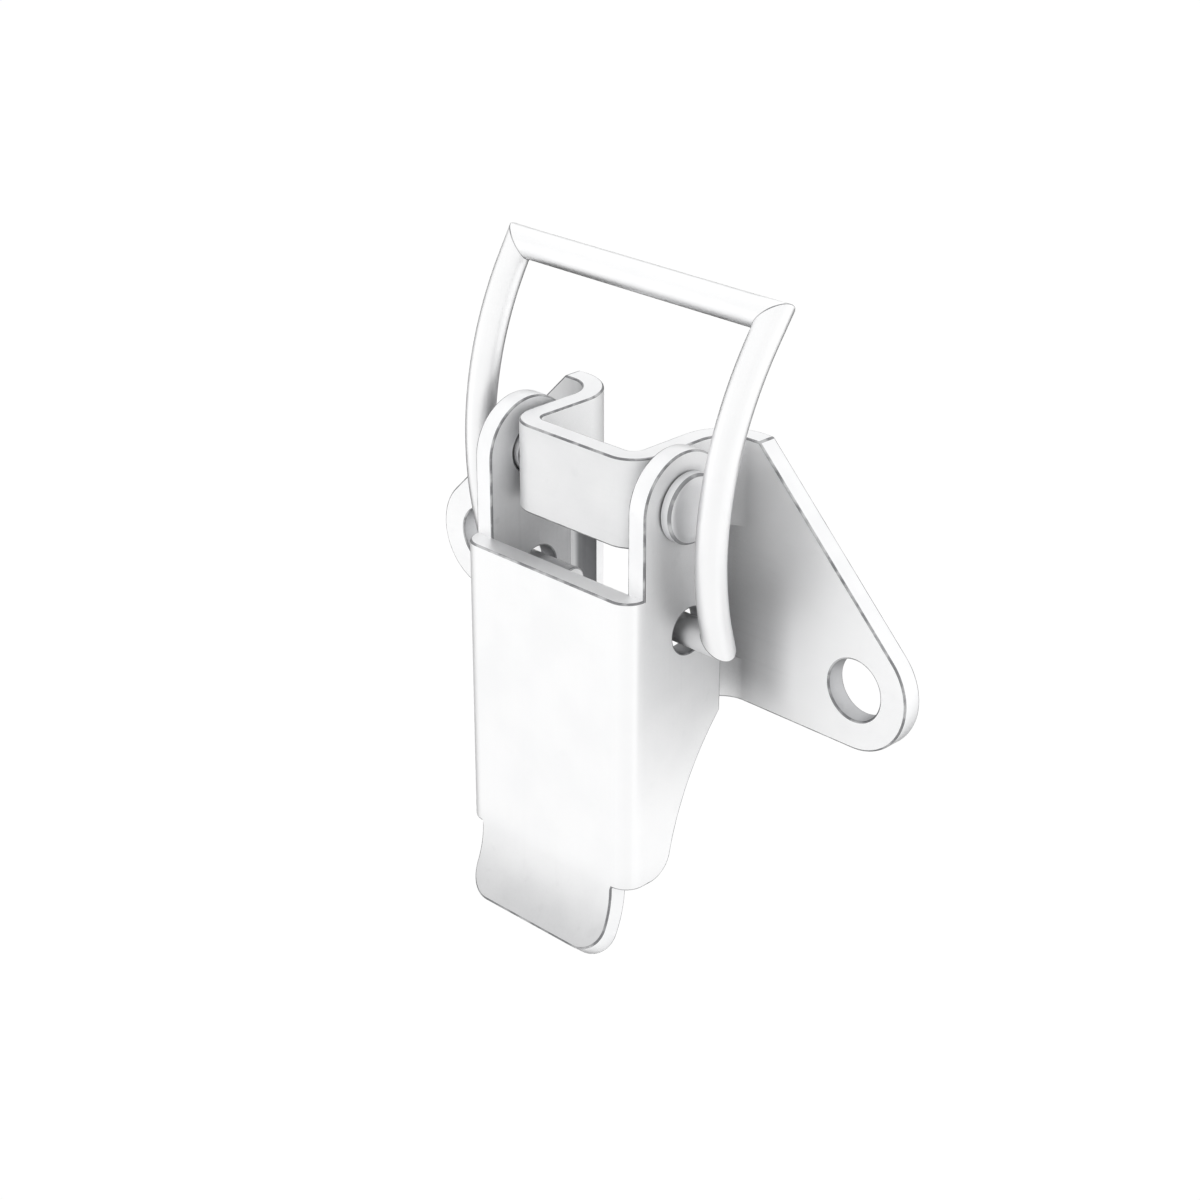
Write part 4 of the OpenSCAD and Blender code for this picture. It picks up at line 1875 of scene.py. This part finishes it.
def latch_pieces() -> list[Piece]:
    """Lists the latch's five pieces with their finishes.

    Returns:
        The pieces, from the panel outwards.
    """
    sheared = {"tint": (0.975, 0.976, 0.98), "dull": (0.93, 0.933, 0.94), "roughness": 0.4, "bump": 0.2}
    shaded = {"recess_even": 0.12, "recess_deep": 0.12, "recess_most": 0.08}
    cut = {"grain": Grain.BACK, "fineness": 5000.0, **shaded, **sheared}
    bored = {"tint": (0.64, 0.644, 0.655), "dull": (0.56, 0.564, 0.575), "roughness": 0.42, "bump": 0.2}
    bright = {"tint": (0.99, 0.991, 0.993), "dull": (0.97, 0.972, 0.976)}
    # Painted shade on the upper left wing, beside the fold.
    upper_left_shade = FoldFootShade(
        top_mm=(30.0, 40.0),
        bottom_mm=(5.0, 11.0),
        share=0.42,
        open_share=0.0,
        side=Side.LEFT,
    )
    sheet = PlatedSteel(
        "plate_sheet",
        **bright,
        roughness=0.48,
        grain=Grain.ACROSS,
        ring=RubRing(radius_mm=2.3, width_mm=0.8, from_mm=5.9),
        # Painted shade on the hump's front and at the feet of the folds.
        end_shade=EndShade(8.6, 9.95, Reach.FORWARD, share=0.2),
        fold_shades=(FoldFootShade(), upper_left_shade),
    )
    sheet_cut = PlatedSteel("plate_cut_edge", **cut)
    lever = PlatedSteel(
        "lever_sheet",
        **bright,
        roughness=0.46,
        recess_even=0.24,
        recess_deep=0.2,
        ring=RubRing(radius_mm=2.55, width_mm=0.3, from_mm=7.8),
        # Painted shade towards the tab and round the pivot.
        end_shade=EndShade(13.4, 20.0),
        pivot_shade_mark=PivotShade((-4.5, 3.0), near_mm=3.0, far_mm=16.0, from_mm=7.88, share=0.36),
    )
    # Painted shade: a darker copy of the lever's finish for the channel's inner walls, darker still round the
    # pin.
    inside = PlatedSteel(
        "lever_inside_painted_shade",
        tint=(0.96, 0.962, 0.967),
        dull=(0.88, 0.883, 0.89),
        roughness=0.6,
        recess_even=0.1,
        recess_deep=0.0,
        pivot_shade_mark=PivotShade(PIN_MM, near_mm=3.0, far_mm=11.0, from_mm=5.0, share=0.6),
    )
    # Painted shade: a dark finish for the window's left cut, which lightens towards its outer end.
    window = PlatedSteel(
        "window_edge_painted_shade",
        tint=(0.25, 0.253, 0.26),
        dull=(0.21, 0.213, 0.22),
        shade_tone=(0.7, 0.703, 0.71),
        roughness=0.45,
        recess_even=0.1,
        recess_deep=0.0,
        end_shade=EndShade(7.6, 8.25, Reach.LEFT, share=1.0),
    )
    plate_bore = PlatedSteel("screw_hole_wall", grain=Grain.BACK, fineness=5000.0, **bored)
    lever_bore = PlatedSteel("pin_hole_wall", grain=Grain.ACROSS, fineness=5000.0, **bored)
    lever_cut = PlatedSteel("lever_cut_edge", **cut)
    wire = DrawnWireSteel(
        "bail_wire",
        tint=(0.97, 0.97, 0.972),
        dull=(0.95, 0.952, 0.956),
        roughness=0.32,
        fineness=9000.0,
    )
    head = TurnedSteel(
        "rivet_steel",
        tint=(0.88, 0.882, 0.89),
        dull=(0.82, 0.823, 0.83),
        roughness=0.38,
        fineness=6000.0,
        edge_shade_share=0.8,
    )
    return [
        BasePlate("base_plate", "base", "base_plate", (sheet, sheet_cut, window, plate_bore)),
        Rivet("left_rivet", "base", "rivets", (head,), hand=Side.LEFT),
        Rivet("right_rivet", "base", "rivets", (head,), hand=Side.RIGHT),
        Lever("lever", "lever", "lever", (lever, lever_cut, inside, lever_bore)),
        Bail("bail", "bail", "bail_wire", (wire,)),
    ]


def main() -> None:
    """Builds the latch and its studio."""
    logging.basicConfig(level=logging.INFO, format="%(name)s: %(message)s")
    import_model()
    groups = EffectGroups()
    for piece in latch_pieces():
        piece.build(groups)
    Studio().build()


if __name__ == "__main__":
    main()
